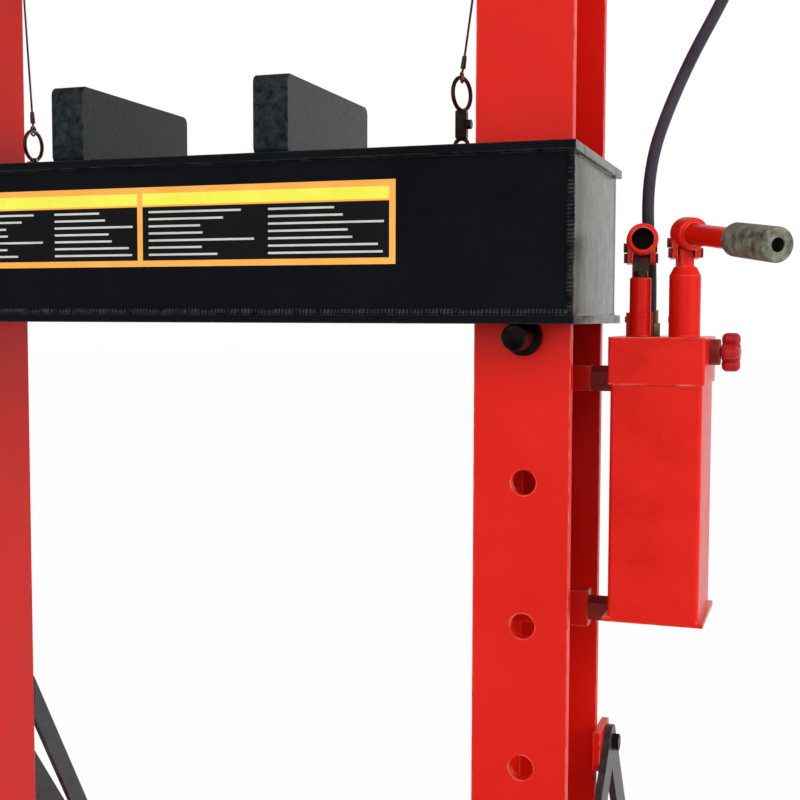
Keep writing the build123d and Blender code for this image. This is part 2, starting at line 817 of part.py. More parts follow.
def levers():
    """Socket for the pump handle and two cheeks that carry the pins."""
    for name, s in (("small_lever", small_set), ("large_lever", large_set)):
        body, mouth, depth = socket_body(s)
        pin = s["pin_height"]
        # Milled room for the plunger's tongue under the socket
        body -= lever_block(s, -cheek_inner, cheek_inner, -s["setback"] - tongue_depth, 0,
                            pin - cheek_low, pin + front_relief)
        body -= lever_block(s, -cheek_inner, cheek_inner, -0.5, s["arm"],
                            pin - cheek_low, pin + rear_relief)
        for side0 in (-cheek_outer, cheek_inner):
            cheek = lever_block(s, side0, side0 + cheek_thick, -s["setback"] - cheek_margin,
                                s["arm"] + cheek_margin, pin - cheek_low,
                                s["socket_height"] + cheek_high)
            corners = cheek.edges().filter_by(lambda e: abs(e.length - cheek_thick) < 0.01)
            body += fillet(corners, cheek_corner)
        body -= rod(mouth, along((0, 0, 0), lever_axis(s), -1), socket_bore, depth)
        for back, up in ((0, pin), (s["arm"], s["fulcrum_height"])):
            body -= lever_rod(s, 2 * cheek_outer, back, up, lever_pin_radius)
        nodes[name] = body


def lever_pins():
    for name, s in (("small_lever_pins", small_set), ("large_lever_pins", large_set)):
        pins = []
        for back, up in ((0, s["pin_height"]), (s["arm"], s["fulcrum_height"])):
            head = cheek_outer + lever_pin_head_thick
            heads = lever_rod(s, head, back, up, lever_pin_head)
            heads -= lever_rod(s, cheek_outer, back, up, lever_pin_head + 1)
            pins.append(heads + lever_rod(s, head, back, up, lever_pin_radius))
        nodes[name] = group(pins)


def lever_links():
    """Upright links between the lugs of the head and the fulcrum pins."""
    links = []
    pins = []
    for s in (small_set, large_set):
        link = lever_block(s, -tongue_half, tongue_half, s["arm"] - link_half,
                           s["arm"] + link_half, link_base_height - link_end,
                           s["fulcrum_height"] + link_end)
        ends = link.edges().filter_by(lambda e: abs(e.length - 2 * tongue_half) < 0.01)
        link = fillet(ends, link_corner)
        link -= lever_rod(s, cheek_outer, s["arm"], s["fulcrum_height"],
                          lever_pin_radius + lever_pin_fit)
        link -= lever_rod(s, cheek_outer, s["arm"], link_base_height, lever_pin_radius)
        links.append(link)
        pins.append(lever_rod(s, cheek_outer + link_pin_proud, s["arm"], link_base_height,
                              lever_pin_radius))
    nodes["lever_links"] = group(links)
    nodes["link_pins"] = group(pins)


def pump_handle():
    """Tube in the large socket, with a rubber grip pushed over its end."""
    axis = lever_axis(large_set)
    ball = lever_point(large_set, 0, -large_socket_setback, large_socket_height)
    seat_reach = large_socket_reach - large_socket_depth
    seat = along(ball, axis, seat_reach)
    length = grip_start + grip_length - grip_cap - seat_reach
    tube = rod(seat, axis, handle_radius, length)
    tube -= rod(seat, axis, handle_radius - handle_wall, length)
    nodes["pump_handle"] = tube
    start = along(ball, axis, grip_start)
    grip = fillet(rod(start, axis, grip_radius, grip_length).edges(), grip_edge)
    grip -= rod(start, axis, handle_radius, grip_length - grip_cap)
    grip -= rod(start, axis, grip_bore, grip_length + 1)
    nodes["handle_grip"] = grip


def release_valve():
    """Boss on the pump head and a knob with four round lobes."""
    z = head_top + valve_z
    face = pump_left + pump_width + head_lip
    body = rod((face, 0, z), (1, 0, 0), valve_radius, valve_length)
    body -= rod((face - 1, 0, z), (1, 0, 0), valve_stem_radius + valve_stem_fit,
                valve_length + 2)
    nodes["release_valve_body"] = body
    knob_x = face + valve_length + knob_gap
    knob = rod((knob_x, 0, z), (1, 0, 0), knob_hub_radius, knob_thick)
    knob = fillet(knob.edges(), knob_hub_round)
    for turn in range(4):
        angle = math.radians(90 * turn)
        centre = (knob_x, knob_reach * math.cos(angle), z + knob_reach * math.sin(angle))
        lobe = rod(centre, (1, 0, 0), knob_lobe_radius, knob_thick)
        knob += fillet(lobe.edges(), knob_lobe_round)
    knob += rod((face + 0.5, 0, z), (1, 0, 0), valve_stem_radius, valve_length + knob_gap + 1)
    nodes["release_knob"] = knob


def pump_mounting():
    half = bracket_depth / 2
    stand = outer_x + bracket_stand
    bars = []
    spacers = []
    for z, height, face in (
            (head_bottom + bracket_drop, bracket_height, pump_left - head_lip),
            (tank_bottom, lower_bracket_height, pump_left - tank_base_lip)):
        bars.append(block(recess_x, stand, -half, half, z - height / 2, z + height / 2))
        spacers.append(hexagon_bar((stand, 0, z), (1, 0, 0), spacer_flats, face - stand))
    nodes["pump_brackets"] = group(bars)
    nodes["pump_spacers"] = group(spacers)
    filler = hexagon_bar((pump_x + filler_right, pump_depth / 2 - filler_inset, head_top),
                         (0, 0, 1), 2 * filler_radius, filler_height)
    nodes["filler_plug"] = fillet(filler.edges().group_by(Axis.Z)[-1], filler_edge)


hose_x = pump_x + hose_fitting_x
hose_start = (hose_x, hose_fitting_y, head_top + hose_fitting_height)
port_z = cylinder_top - port_drop
hose_end = (cylinder_radius + port_length, 0, port_z)
hose_points = [
    hose_start, (hose_x, hose_fitting_y, 968), (527, 45, 1032), (532, 44, 1092),
    (548, 44, 1142), (575, 44, 1204), (607, 43, 1262), (639, 41, 1330), (660, 38, 1404), (666, 34, 1480),
    (655, 30, 1556), (627, 25, 1626), (583, 20, 1688), (526, 15, 1742), (458, 10, 1780),
    (382, 6, 1804), (303, 3, 1812), (225, 1, 1808), (156, 0, port_z), hose_end,
]


def run_length(a, b):
    return math.dist(a, b)


def corner_radii(points):
    """Largest arc that both runs of each corner leave room for."""
    radii = []
    for before, here, after in zip(points, points[1:], points[2:]):
        turn = (Vector(*here) - Vector(*before)).get_angle(Vector(*after) - Vector(*here))
        short = min(run_length(before, here), run_length(here, after))
        radii.append(0.45 * short / math.tan(math.radians(turn) / 2))
    return radii


def hose():
    radii = corner_radii(hose_points)
    print("hose arc radii", [round(r) for r in radii])
    path = FilletPolyline(*hose_points, radius=radii)
    first = Vector(*hose_points[1]) - Vector(*hose_points[0])
    section = Plane(origin=hose_points[0], z_dir=first) * Circle(hose_radius)
    tube = sweep(section, path=path)
    expected = math.pi * hose_radius ** 2 * path.length
    print("hose length", round(path.length), "volume ratio", round(tube.volume / expected, 4))
    nodes["pump_hose"] = tube

    x, y, top = hose_start
    low = hexagon_bar((x, y, head_top), (0, 0, 1), hose_fitting_flats, hose_fitting_height / 2)
    ferrule = rod((x, y, head_top), (0, 0, 1), hose_ferrule_radius, hose_fitting_height)
    pump_end = low + ferrule
    x, y, z = hose_end
    fitting = rod((cylinder_radius, y, z), (1, 0, 0), hose_ferrule_radius, port_length)
    fitting += hexagon_bar((cylinder_radius, y, z), (1, 0, 0), hose_fitting_flats,
                           port_length / 2)
    nodes["hose_fittings"] = group([pump_end, fitting])


left_pulley_x = -(rope_lead_x + rope_turn_radius)
right_pulley_x = rope_lead_x - rope_turn_radius
winch_axis_x = -(outer_x + winch_x)
rope_seat = rope_turn_radius - rope_radius - rope_groove_gap


def pulley(x, rope_rows):
    """Grooved wheel: one groove for each rope that runs over it."""
    first = min(rope_rows) - groove_half - rim_thick
    last = max(rope_rows) + groove_half + rim_thick
    rim = rope_turn_radius + rim_height
    wheel = rod((x, first, pulley_z), (0, 1, 0), rim, last - first)
    for row in rope_rows:
        groove = rod((x, row - groove_half, pulley_z), (0, 1, 0), rim + 1, 2 * groove_half)
        groove -= rod((x, row - groove_half, pulley_z), (0, 1, 0), rope_seat, 2 * groove_half)
        wheel -= groove
    wheel -= rod((x, first - 1, pulley_z), (0, 1, 0), axle_radius + axle_fit, last - first + 2)
    for turn in range(4):
        angle = math.radians(45 + 90 * turn)
        centre = (x + spoke_hole_reach * math.cos(angle), first - 1,
                  pulley_z + spoke_hole_reach * math.sin(angle))
        wheel -= rod(centre, (0, 1, 0), spoke_hole_radius, last - first + 2)
    return wheel


def pulleys():
    nodes["left_pulley"] = pulley(left_pulley_x, (left_rope_y, right_rope_y))
    nodes["right_pulley"] = pulley(right_pulley_x, (right_rope_y,))
    half = groove_half + rim_thick + pulley_side_gap
    # Left: one ear on the web and an axle that ends in the rear flange
    ear_rear = left_rope_y - half
    ear = block(left_pulley_x - 2 * axle_radius, -recess_x, ear_rear - axle_plate, ear_rear,
                pulley_z - 2 * axle_radius, pulley_z + 2 * axle_radius)
    ear += rod((left_pulley_x, ear_rear, pulley_z), (0, 1, 0), axle_radius, recess_y - ear_rear)
    # Right: two ears on the inner face of the web
    right = None
    for y in (right_rope_y - half - axle_plate, right_rope_y + half):
        plate = block(right_pulley_x - 2 * axle_radius, inner_x, y, y + axle_plate,
                      pulley_z - 2 * axle_radius, pulley_z + 2 * axle_radius)
        right = plate if right is None else right + plate
    right += rod((right_pulley_x, right_rope_y - half - axle_plate, pulley_z), (0, 1, 0),
                 axle_radius, 2 * (half + axle_plate))
    nodes["pulley_brackets"] = group([ear, right])


def tangent_angle():
    """Direction, from both centres, of the points where the rope leaves."""
    dx = winch_axis_x - left_pulley_x
    dz = winch_z - pulley_z
    along = math.atan2(dz, dx)
    return along - math.pi / 2


def on_turn(x, z, angle, y):
    return (x + rope_turn_radius * math.cos(angle), y, z + rope_turn_radius * math.sin(angle))


def rope_over_left_pulley(y, start_angle):
    leave = tangent_angle() % (2 * math.pi)
    middle = (start_angle + leave) / 2
    arc = ThreePointArc(on_turn(left_pulley_x, pulley_z, start_angle, y),
                        on_turn(left_pulley_x, pulley_z, middle, y),
                        on_turn(left_pulley_x, pulley_z, leave, y))
    straight = Line(on_turn(left_pulley_x, pulley_z, leave, y),
                    on_turn(winch_axis_x, winch_z, leave, y))
    return [arc, straight]


def rope(edges, start, direction):
    path = Wire([e.edge() if hasattr(e, "edge") else e for e in edges])
    section = Plane(origin=start, z_dir=direction) * Circle(rope_radius)
    return sweep(section, path=path)


def ropes():
    low = pulley_z - drop_top
    # Left rope: up to the wheel, over it and down to the drum
    start = (-rope_lead_x, left_rope_y, low)
    edges = [Line(start, on_turn(left_pulley_x, pulley_z, 0, left_rope_y))]
    edges += rope_over_left_pulley(left_rope_y, 0.0)
    nodes["left_rope_run"] = rope(edges, start, (0, 0, 1))
    # Right rope: over its own wheel, across, then over the left wheel
    start = (rope_lead_x, right_rope_y, low)
    quarter = math.pi / 2
    edges = [
        Line(start, on_turn(right_pulley_x, pulley_z, 0, right_rope_y)),
        ThreePointArc(on_turn(right_pulley_x, pulley_z, 0, right_rope_y),
                      on_turn(right_pulley_x, pulley_z, quarter / 2, right_rope_y),
                      on_turn(right_pulley_x, pulley_z, quarter, right_rope_y)),
        Line(on_turn(right_pulley_x, pulley_z, quarter, right_rope_y),
             on_turn(left_pulley_x, pulley_z, quarter, right_rope_y)),
    ]
    edges += rope_over_left_pulley(right_rope_y, quarter)
    nodes["right_rope_run"] = rope(edges, start, (0, 0, 1))
    # Hanging ends, from the wheels down to the rings on the bed
    for name, x, y, top in (("left_rope_drop", -1, left_rope_y, left_ring_top),
                            ("right_rope_drop", 1, right_rope_y, right_ring_top)):
        upper = (x * rope_lead_x, y, low)
        lower = (x * eye_x, eye_y, top)
        direction = tuple(b - a for a, b in zip(upper, lower))
        drop = rod(upper, direction, rope_radius, math.dist(upper, lower))
        nodes[name] = drop & block(-outer_x, outer_x, -face_y, face_y, top, low)


def winch():
    x = winch_axis_x
    first = left_rope_y - drum_overhang
    last = right_rope_y + drum_overhang
    drum = rod((x, first, winch_z), (0, 1, 0), rope_seat, last - first)
    for y in (first, last - drum_flange):
        drum += rod((x, y, winch_z), (0, 1, 0), drum_flange_radius, drum_flange)
    cheek_front = first - drum_side_gap - winch_cheek
    cheek_rear = last + drum_side_gap
    shaft_end = max(face_y, cheek_rear + winch_cheek) + crank_gap + crank_thick
    drum += rod((x, cheek_front - shaft_proud, winch_z), (0, 1, 0), winch_shaft_radius,
                shaft_end - cheek_front + shaft_proud)
    nodes["winch_drum"] = drum

    plate_x = -(outer_x + winch_plate)
    plate = block(plate_x, -outer_x, -face_y, face_y,
                  winch_z - winch_plate_height / 2, winch_z + winch_plate_height / 2)
    reach = x - cheek_half
    for y in (cheek_front, cheek_rear):
        cheek = block(reach, plate_x, y, y + winch_cheek,
                      winch_z - cheek_half, winch_z + cheek_half)
        cheek -= rod((x, y - 1, winch_z), (0, 1, 0), winch_shaft_radius + axle_fit,
                     winch_cheek + 2)
        plate += cheek
    nodes["winch_frame"] = plate

    arm_plane = Plane(origin=(x, shaft_end - crank_thick, winch_z - crank_length / 2),
                      x_dir=(1, 0, 0), z_dir=(0, 1, 0))
    arm = extrude(arm_plane * SlotCenterToCenter(crank_length, crank_width, rotation=90),
                  crank_thick)
    arm -= rod((x, 0, winch_z), (0, 1, 0), winch_shaft_radius, 2 * face_y)
    grip = rod((x, shaft_end, winch_z - crank_length), (0, 1, 0),
               crank_grip_radius, crank_grip_length)
    grip = fillet(grip.edges().group_by(Axis.Y)[-1], crank_grip_round)
    nodes["winch_crank"] = group([arm, grip])


uprights()
feet()
foot_bolt_holes()
braces()
crosshead()
beam_bolts()
brace_bolts()
bed()
lifting_eyes()
bed_pins()
pump_tank()
pump_head()
pump_cylinders()
plungers()
levers()
lever_pins()
lever_links()
pump_handle()
release_valve()
pump_mounting()
hose()
pulleys()
ropes()
winch()

os.makedirs("parts", exist_ok=True)
for name, shape in nodes.items():
    export_step(shape, f"parts/{name}.step")
print(len(nodes), "nodes")
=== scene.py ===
import json
import math
import bpy
import bmesh
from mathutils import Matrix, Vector


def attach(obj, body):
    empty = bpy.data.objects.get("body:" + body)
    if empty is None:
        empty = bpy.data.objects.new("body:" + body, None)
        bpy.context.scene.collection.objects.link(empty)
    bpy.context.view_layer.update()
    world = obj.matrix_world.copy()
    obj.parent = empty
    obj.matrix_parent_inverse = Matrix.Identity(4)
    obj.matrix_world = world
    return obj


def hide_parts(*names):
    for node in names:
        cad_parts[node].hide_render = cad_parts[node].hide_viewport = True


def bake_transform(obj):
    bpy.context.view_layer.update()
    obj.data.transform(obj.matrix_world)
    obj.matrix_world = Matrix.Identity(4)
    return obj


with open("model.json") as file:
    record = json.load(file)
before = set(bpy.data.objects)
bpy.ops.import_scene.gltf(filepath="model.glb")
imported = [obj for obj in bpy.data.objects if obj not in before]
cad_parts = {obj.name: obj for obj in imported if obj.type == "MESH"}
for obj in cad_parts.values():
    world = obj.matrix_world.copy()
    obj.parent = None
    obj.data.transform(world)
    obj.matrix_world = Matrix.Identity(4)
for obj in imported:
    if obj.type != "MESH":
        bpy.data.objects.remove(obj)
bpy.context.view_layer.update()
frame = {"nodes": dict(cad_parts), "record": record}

# The uprights: two tall channels of welded plate, open side outwards, sprayed
# with red enamel. Their corners are a paler red: a painted highlight along the edges, patchy like rubbed
# paint.


def add_node(tree, kind, **values):
    """One node, with its sockets and properties set; Fill_Caps is the socket Fill Caps."""
    node = tree.nodes.new(kind)
    for name, value in values.items():
        socket = name.replace("_", " ")
        if socket in node.inputs:
            node.inputs[socket].default_value = value
        else:
            setattr(node, name, value)
    return node


def join(tree, *links):
    """Links of a tree, each written as node, output, node, input."""
    for source, output, target, socket in links:
        tree.links.new(source.outputs[output], target.inputs[socket])


# A colour mix node's own sockets, which share their names with its others
first_colour, second_colour, mixed_colour = 6, 7, 2


def new_group(name, inputs, outputs):
    """An empty shader node group with number or colour sockets."""
    group = bpy.data.node_groups.new(name, "ShaderNodeTree")
    for label, kind, value in inputs:
        socket = group.interface.new_socket(label, in_out="INPUT", socket_type=kind)
        socket.default_value = value
    for label, kind in outputs:
        group.interface.new_socket(label, in_out="OUTPUT", socket_type=kind)
    return group, group.nodes.new("NodeGroupInput"), group.nodes.new("NodeGroupOutput")


# Paler edges: 1 on a corner, broken up by a noise; a painted highlight along the edges, patchy like
# rubbed paint.
edge_highlight_and_scuff, highlight_in, highlight_out = new_group(
    "edge_highlight_and_scuff",
    [("Radius", "NodeSocketFloat", 0.002), ("Patchiness", "NodeSocketFloat", 60.0)],
    [("Mask", "NodeSocketFloat")])
highlight_bevel = add_node(edge_highlight_and_scuff, "ShaderNodeBevel", samples=4)
highlight_true = add_node(edge_highlight_and_scuff, "ShaderNodeNewGeometry")
highlight_dot = add_node(edge_highlight_and_scuff, "ShaderNodeVectorMath", operation="DOT_PRODUCT")
highlight_ramp = add_node(edge_highlight_and_scuff, "ShaderNodeMapRange", From_Min=0.985, From_Max=0.86)
highlight_place = add_node(edge_highlight_and_scuff, "ShaderNodeTexCoord")
highlight_noise = add_node(edge_highlight_and_scuff, "ShaderNodeTexNoise", Detail=3.0)
highlight_patch = add_node(edge_highlight_and_scuff, "ShaderNodeMapRange", From_Min=0.35, From_Max=0.62)
highlight_mask = add_node(edge_highlight_and_scuff, "ShaderNodeMath", operation="MULTIPLY")
join(edge_highlight_and_scuff, (highlight_in, "Radius", highlight_bevel, "Radius"), (highlight_bevel, "Normal", highlight_dot, 0),
     (highlight_true, "True Normal", highlight_dot, 1), (highlight_dot, "Value", highlight_ramp, "Value"),
     (highlight_place, "Object", highlight_noise, "Vector"), (highlight_in, "Patchiness", highlight_noise, "Scale"),
     (highlight_noise, "Fac", highlight_patch, "Value"), (highlight_ramp, "Result", highlight_mask, 0),
     (highlight_patch, "Result", highlight_mask, 1), (highlight_mask, "Value", highlight_out, "Mask"))

# Sprayed coat: broad cloudy tone and the fine orange peel of the spray gun.
spray_coat, coat_in, coat_out = new_group(
    "spray_coat",
    [("Light", "NodeSocketColor", (0.7, 0.0, 0.0, 1)),
     ("Deep", "NodeSocketColor", (0.6, 0.0, 0.0, 1)),
     ("Cloud", "NodeSocketFloat", 7.0), ("Peel", "NodeSocketFloat", 420.0)],
    [("Color", "NodeSocketColor"), ("Height", "NodeSocketFloat"), ("Tone", "NodeSocketFloat")])
coat_place = add_node(spray_coat, "ShaderNodeTexCoord")
coat_cloud = add_node(spray_coat, "ShaderNodeTexNoise", Detail=5.0, Roughness=0.62)
coat_spread = add_node(spray_coat, "ShaderNodeMapRange", From_Min=0.3, From_Max=0.7)
coat_peel = add_node(spray_coat, "ShaderNodeTexNoise", Detail=1.0)
coat_mix = add_node(spray_coat, "ShaderNodeMix", data_type="RGBA")
join(spray_coat, (coat_place, "Object", coat_cloud, "Vector"),
     (coat_place, "Object", coat_peel, "Vector"), (coat_in, "Cloud", coat_cloud, "Scale"),
     (coat_in, "Peel", coat_peel, "Scale"), (coat_cloud, "Fac", coat_spread, "Value"),
     (coat_spread, "Result", coat_mix, 0), (coat_in, "Deep", coat_mix, first_colour),
     (coat_in, "Light", coat_mix, second_colour), (coat_mix, mixed_colour, coat_out, "Color"),
     (coat_peel, "Fac", coat_out, "Height"), (coat_spread, "Result", coat_out, "Tone"))


def painted(name, light, deep, highlight_colour, roughness=(0.30, 0.42), cloud=7.0, peel=420.0,
            depth=0.00010, highlight_width=0.0022, patch=60.0, ior=1.45):
    """A sprayed finish: cloudy colour, fine peel and paler corners, a painted highlight patchy like
    rubbed paint.
    """
    material = bpy.data.materials.new(name)
    material.use_nodes = True
    material.diffuse_color = (*light, 1)
    tree = material.node_tree
    shader = tree.nodes["Principled BSDF"]
    shader.inputs["IOR"].default_value = ior
    spray = add_node(tree, "ShaderNodeGroup", node_tree=spray_coat, Light=(*light, 1), Deep=(*deep, 1),
                     Cloud=cloud, Peel=peel)
    # The paler corner colour is a painted highlight along the edges.
    corner_light = add_node(tree, "ShaderNodeGroup", node_tree=edge_highlight_and_scuff, Radius=highlight_width, Patchiness=patch)
    mix = add_node(tree, "ShaderNodeMix", data_type="RGBA")
    mix.inputs[second_colour].default_value = (*highlight_colour, 1)
    gloss = add_node(tree, "ShaderNodeMapRange", To_Min=roughness[0], To_Max=roughness[1])
    bump = add_node(tree, "ShaderNodeBump", Strength=0.35, Distance=depth)
    join(tree, (spray, "Color", mix, first_colour), (corner_light, "Mask", mix, 0),
         (mix, mixed_colour, shader, "Base Color"), (spray, "Tone", gloss, "Value"),
         (gloss, "Result", shader, "Roughness"), (spray, "Height", bump, "Height"),
         (bump, "Normal", shader, "Normal"))
    return material


# The salmon red on the enamel's corners is a painted highlight along the edges.
red_enamel = painted("red_enamel", (0.69, 0.008, 0.0012), (0.60, 0.006, 0.0010), (0.86, 0.20, 0.12),
                     highlight_width=0.0030, ior=1.36)
same_place = 0.000002
flat_angle, sharp_angle, eased_angle = math.radians(0.5), math.radians(32), math.radians(40)


def new_object(name, data):
    """An object of the scene that holds the data."""
    made = bpy.data.objects.new(name, data)
    bpy.context.scene.collection.objects.link(made)
    return made


def dress(node, piece_name, material, edge):
    """A merged copy of a CAD node with eased edges, which stands for the node."""
    source = frame["nodes"][node]
    mesh = source.data.copy()
    mesh.name = piece_name
    work = bmesh.new()
    work.from_mesh(mesh)
    bmesh.ops.remove_doubles(work, verts=work.verts, dist=same_place)
    bmesh.ops.dissolve_limit(work, angle_limit=flat_angle, verts=work.verts, edges=work.edges)
    work.to_mesh(mesh)
    work.free()
    for face in mesh.polygons:
        face.use_smooth = True
    mesh.set_sharp_from_angle(angle=sharp_angle)
    mesh.materials.clear()
    mesh.materials.append(material)
    piece = new_object(piece_name, mesh)
    if edge > 0:
        bevel = piece.modifiers.new("eased_edges", "BEVEL")
        bevel.width = edge
        bevel.segments = 2
        bevel.limit_method = "ANGLE"
        bevel.angle_limit = eased_angle
        bevel.harden_normals = True
    body = next(b for b, members in frame["record"]["behaviour"]["bodies"].items() if node in members)
    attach(piece, body)
    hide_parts(node)


for node in ("left_upright", "right_upright"):
    dress(node, node + "_plate", red_enamel, 0.0012)

# The feet, the tie between them and the lugs of the braces: bent plate in the
# same red, welded together. Anchor holes at the feet's ends take floor bolts.
for node in ("left_foot", "right_foot", "cross_tie", "brace_lugs"):
    dress(node, node + "_plate", red_enamel, 0.001)

# Braces from the feet up to the uprights: flat bars with rounded ends and a
# bolt at each, in thin black paint with paler rims, a painted highlight along the edges.
brace_black = painted("brace_black", (0.052, 0.050, 0.054), (0.016, 0.017, 0.024), (0.12, 0.12, 0.11),
                      roughness=(0.30, 0.45), cloud=90.0, peel=300.0, patch=90.0)
for node in ("outer_braces", "rear_stays"):
    dress(node, node + "_bars", brace_black, 0.0008)


def oiled_steel(name, colour, dark, roughness=(0.28, 0.5), grain=(9.0, 9.0, 260.0), depth=0.00004):
    """Bare or blackened steel with fine turning marks and darker oil stains."""
    material = bpy.data.materials.new(name)
    material.use_nodes = True
    material.diffuse_color = (*colour, 1)
    tree = material.node_tree
    shader = tree.nodes["Principled BSDF"]
    shader.inputs["Metallic"].default_value = 1.0
    place = add_node(tree, "ShaderNodeTexCoord")
    stretch = add_node(tree, "ShaderNodeMapping", Scale=grain)
    marks = add_node(tree, "ShaderNodeTexNoise", Scale=8.0, Detail=3.0)
    stains = add_node(tree, "ShaderNodeTexNoise", Scale=45.0, Detail=4.0)
    spread = add_node(tree, "ShaderNodeMapRange", From_Min=0.36, From_Max=0.66)
    mix = add_node(tree, "ShaderNodeMix", data_type="RGBA")
    mix.inputs[first_colour].default_value = (*dark, 1)
    mix.inputs[second_colour].default_value = (*colour, 1)
    gloss = add_node(tree, "ShaderNodeMapRange", To_Min=roughness[1], To_Max=roughness[0])
    bump = add_node(tree, "ShaderNodeBump", Strength=0.3, Distance=depth)
    join(tree, (place, "Object", stretch, "Vector"), (stretch, "Vector", marks, "Vector"),
         (place, "Object", stains, "Vector"), (stains, "Fac", spread, "Value"),
         (spread, "Result", mix, 0), (mix, mixed_colour, shader, "Base Color"),
         (spread, "Result", gloss, "Value"), (gloss, "Result", shader, "Roughness"),
         (marks, "Fac", bump, "Height"), (bump, "Normal", shader, "Normal"))
    return material


blackened_steel = oiled_steel("blackened_steel", (0.10, 0.095, 0.09), (0.03, 0.028, 0.026), (0.35, 0.55))
dress("brace_bolts", "brace_bolt_heads", blackened_steel, 0.0006)

# The crosshead: two channel beams bolted over the tops of the uprights, and
# the thick plate between them on which the ram cylinder stands.
for node in ("front_beam", "rear_beam"):
    dress(node, node + "_channel", red_enamel, 0.0012)
dress("cylinder_plate", "cylinder_seat_plate", red_enamel, 0.001)
dress("beam_bolts", "beam_bolt_heads", blackened_steel, 0.0008)

# The ram: a red cylinder held by a notched ring nut, with a chromed rod and a
# turned steel head that presses on the work.
dress("cylinder_body", "cylinder_barrel", red_enamel, 0.0008)
dress("cylinder_ring_nut", "cylinder_ring", blackened_steel, 0.0008)
hard_chrome = oiled_steel("hard_chrome", (0.72, 0.72, 0.73), (0.55, 0.55, 0.56), (0.07, 0.16),
                          (4.0, 4.0, 30.0), 0.00001)
turned_steel = oiled_steel("turned_steel", (0.50, 0.49, 0.46), (0.30, 0.29, 0.27), (0.24, 0.42))
dress("ram_rod", "ram_chromed_rod", hard_chrome, 0.0004)
dress("ram_head", "ram_turned_head", turned_steel, 0.0005)

# The bed: two channel beams and end plates welded into a box round the
# uprights, in semi-gloss black. It hangs on the ropes and rests on the pins.
# Its paler corner colour is a painted highlight along the edges.
bed_black = painted("bed_black", (0.0032, 0.0038, 0.0070), (0.0012, 0.0015, 0.0032),
                    (0.060, 0.062, 0.060), roughness=(0.20, 0.34), cloud=9.0, peel=260.0,
                    depth=0.00012, patch=80.0)
for node in ("bed_front_beam", "bed_rear_beam", "bed_spreaders"):
    dress(node, node + "_plate", bed_black, 0.0010)
# The end plates are a paler grey-green black than the beams: a painted sheen of the strong light from the
# right on their faces.
black_with_painted_sheen = painted("black_with_painted_sheen", (0.050, 0.060, 0.030), (0.030, 0.036, 0.020), (0.10, 0.10, 0.08),
                     roughness=(0.22, 0.34), cloud=40.0, peel=260.0, depth=0.00015, patch=80.0)
dress("bed_ends", "bed_ends_plate", black_with_painted_sheen, 0.0010)


def plain_mesh(piece):
    """The evaluated mesh takes the place of the piece's modifiers."""
    shape = piece.evaluated_get(bpy.context.evaluated_depsgraph_get())
    mesh = bpy.data.meshes.new_from_object(shape)
    mesh.name = piece.name
    piece.modifiers.clear()
    if piece.type == "MESH":
        piece.data = mesh
        return piece
    name = piece.name
    bpy.data.objects.remove(piece)
    return new_object(name, mesh)


def new_geometry_group(name, inputs):
    """An empty Geometry Nodes group with a mesh output and named inputs."""
    group = bpy.data.node_groups.new(name, "GeometryNodeTree")
    for label, kind in inputs:
        group.interface.new_socket(label, in_out="INPUT", socket_type=kind)
    group.interface.new_socket("Geometry", in_out="OUTPUT", socket_type="NodeSocketGeometry")
    return group, group.nodes.new("NodeGroupInput"), group.nodes.new("NodeGroupOutput")


def grow(piece, group, **values):
    """Run a Geometry Nodes group on a piece, with its inputs by name."""
    modifier = piece.modifiers.new(group.name, "NODES")
    modifier.node_group = group
    for item in group.interface.items_tree:
        if item.item_type == "SOCKET" and item.in_out == "INPUT" and item.name in values:
            modifier[item.identifier] = values[item.name]
    return plain_mesh(piece)


def poly_path(name, places):
    """A straight-sided curve through the places."""
    line = bpy.data.curves.new(name, "CURVE")
    line.dimensions = "3D"
    spline = line.splines.new("POLY")
    spline.points.add(len(places) - 1)
    for point, place in zip(spline.points, places):
        point.co = (*place, 1)
    return new_object(name, line)


# Weld runs: a bead laid along a path, rippled by the pace of the torch and a
# little uneven, painted over with the plates.
weld_run, weld_in, weld_out = new_geometry_group("weld_run", [
    ("Geometry", "NodeSocketGeometry"), ("Bead", "NodeSocketFloat"), ("Pitch", "NodeSocketFloat"),
    ("Uneven", "NodeSocketFloat"), ("Material", "NodeSocketMaterial")])
weld_steps = add_node(weld_run, "GeometryNodeResampleCurve", mode="LENGTH", Length=0.0008)
weld_param = add_node(weld_run, "GeometryNodeSplineParameter")
weld_phase = add_node(weld_run, "ShaderNodeMath", operation="DIVIDE")
weld_wave = add_node(weld_run, "ShaderNodeMath", operation="FRACT")
weld_noise = add_node(weld_run, "ShaderNodeTexNoise", Scale=60.0, Detail=2.0)
weld_blob = add_node(weld_run, "ShaderNodeMath", operation="MULTIPLY")
weld_sum = add_node(weld_run, "ShaderNodeMath", operation="MULTIPLY_ADD")
weld_sum.inputs[1].default_value = 0.18
weld_base = add_node(weld_run, "ShaderNodeMath", operation="ADD")
weld_base.inputs[1].default_value = 0.62
weld_size = add_node(weld_run, "ShaderNodeMath", operation="MULTIPLY")
weld_round = add_node(weld_run, "GeometryNodeCurvePrimitiveCircle", Resolution=10, Radius=1.0)
weld_tube = add_node(weld_run, "GeometryNodeCurveToMesh", Fill_Caps=True)
weld_real = add_node(weld_run, "GeometryNodeRealizeInstances")
weld_paint = add_node(weld_run, "GeometryNodeSetMaterial")
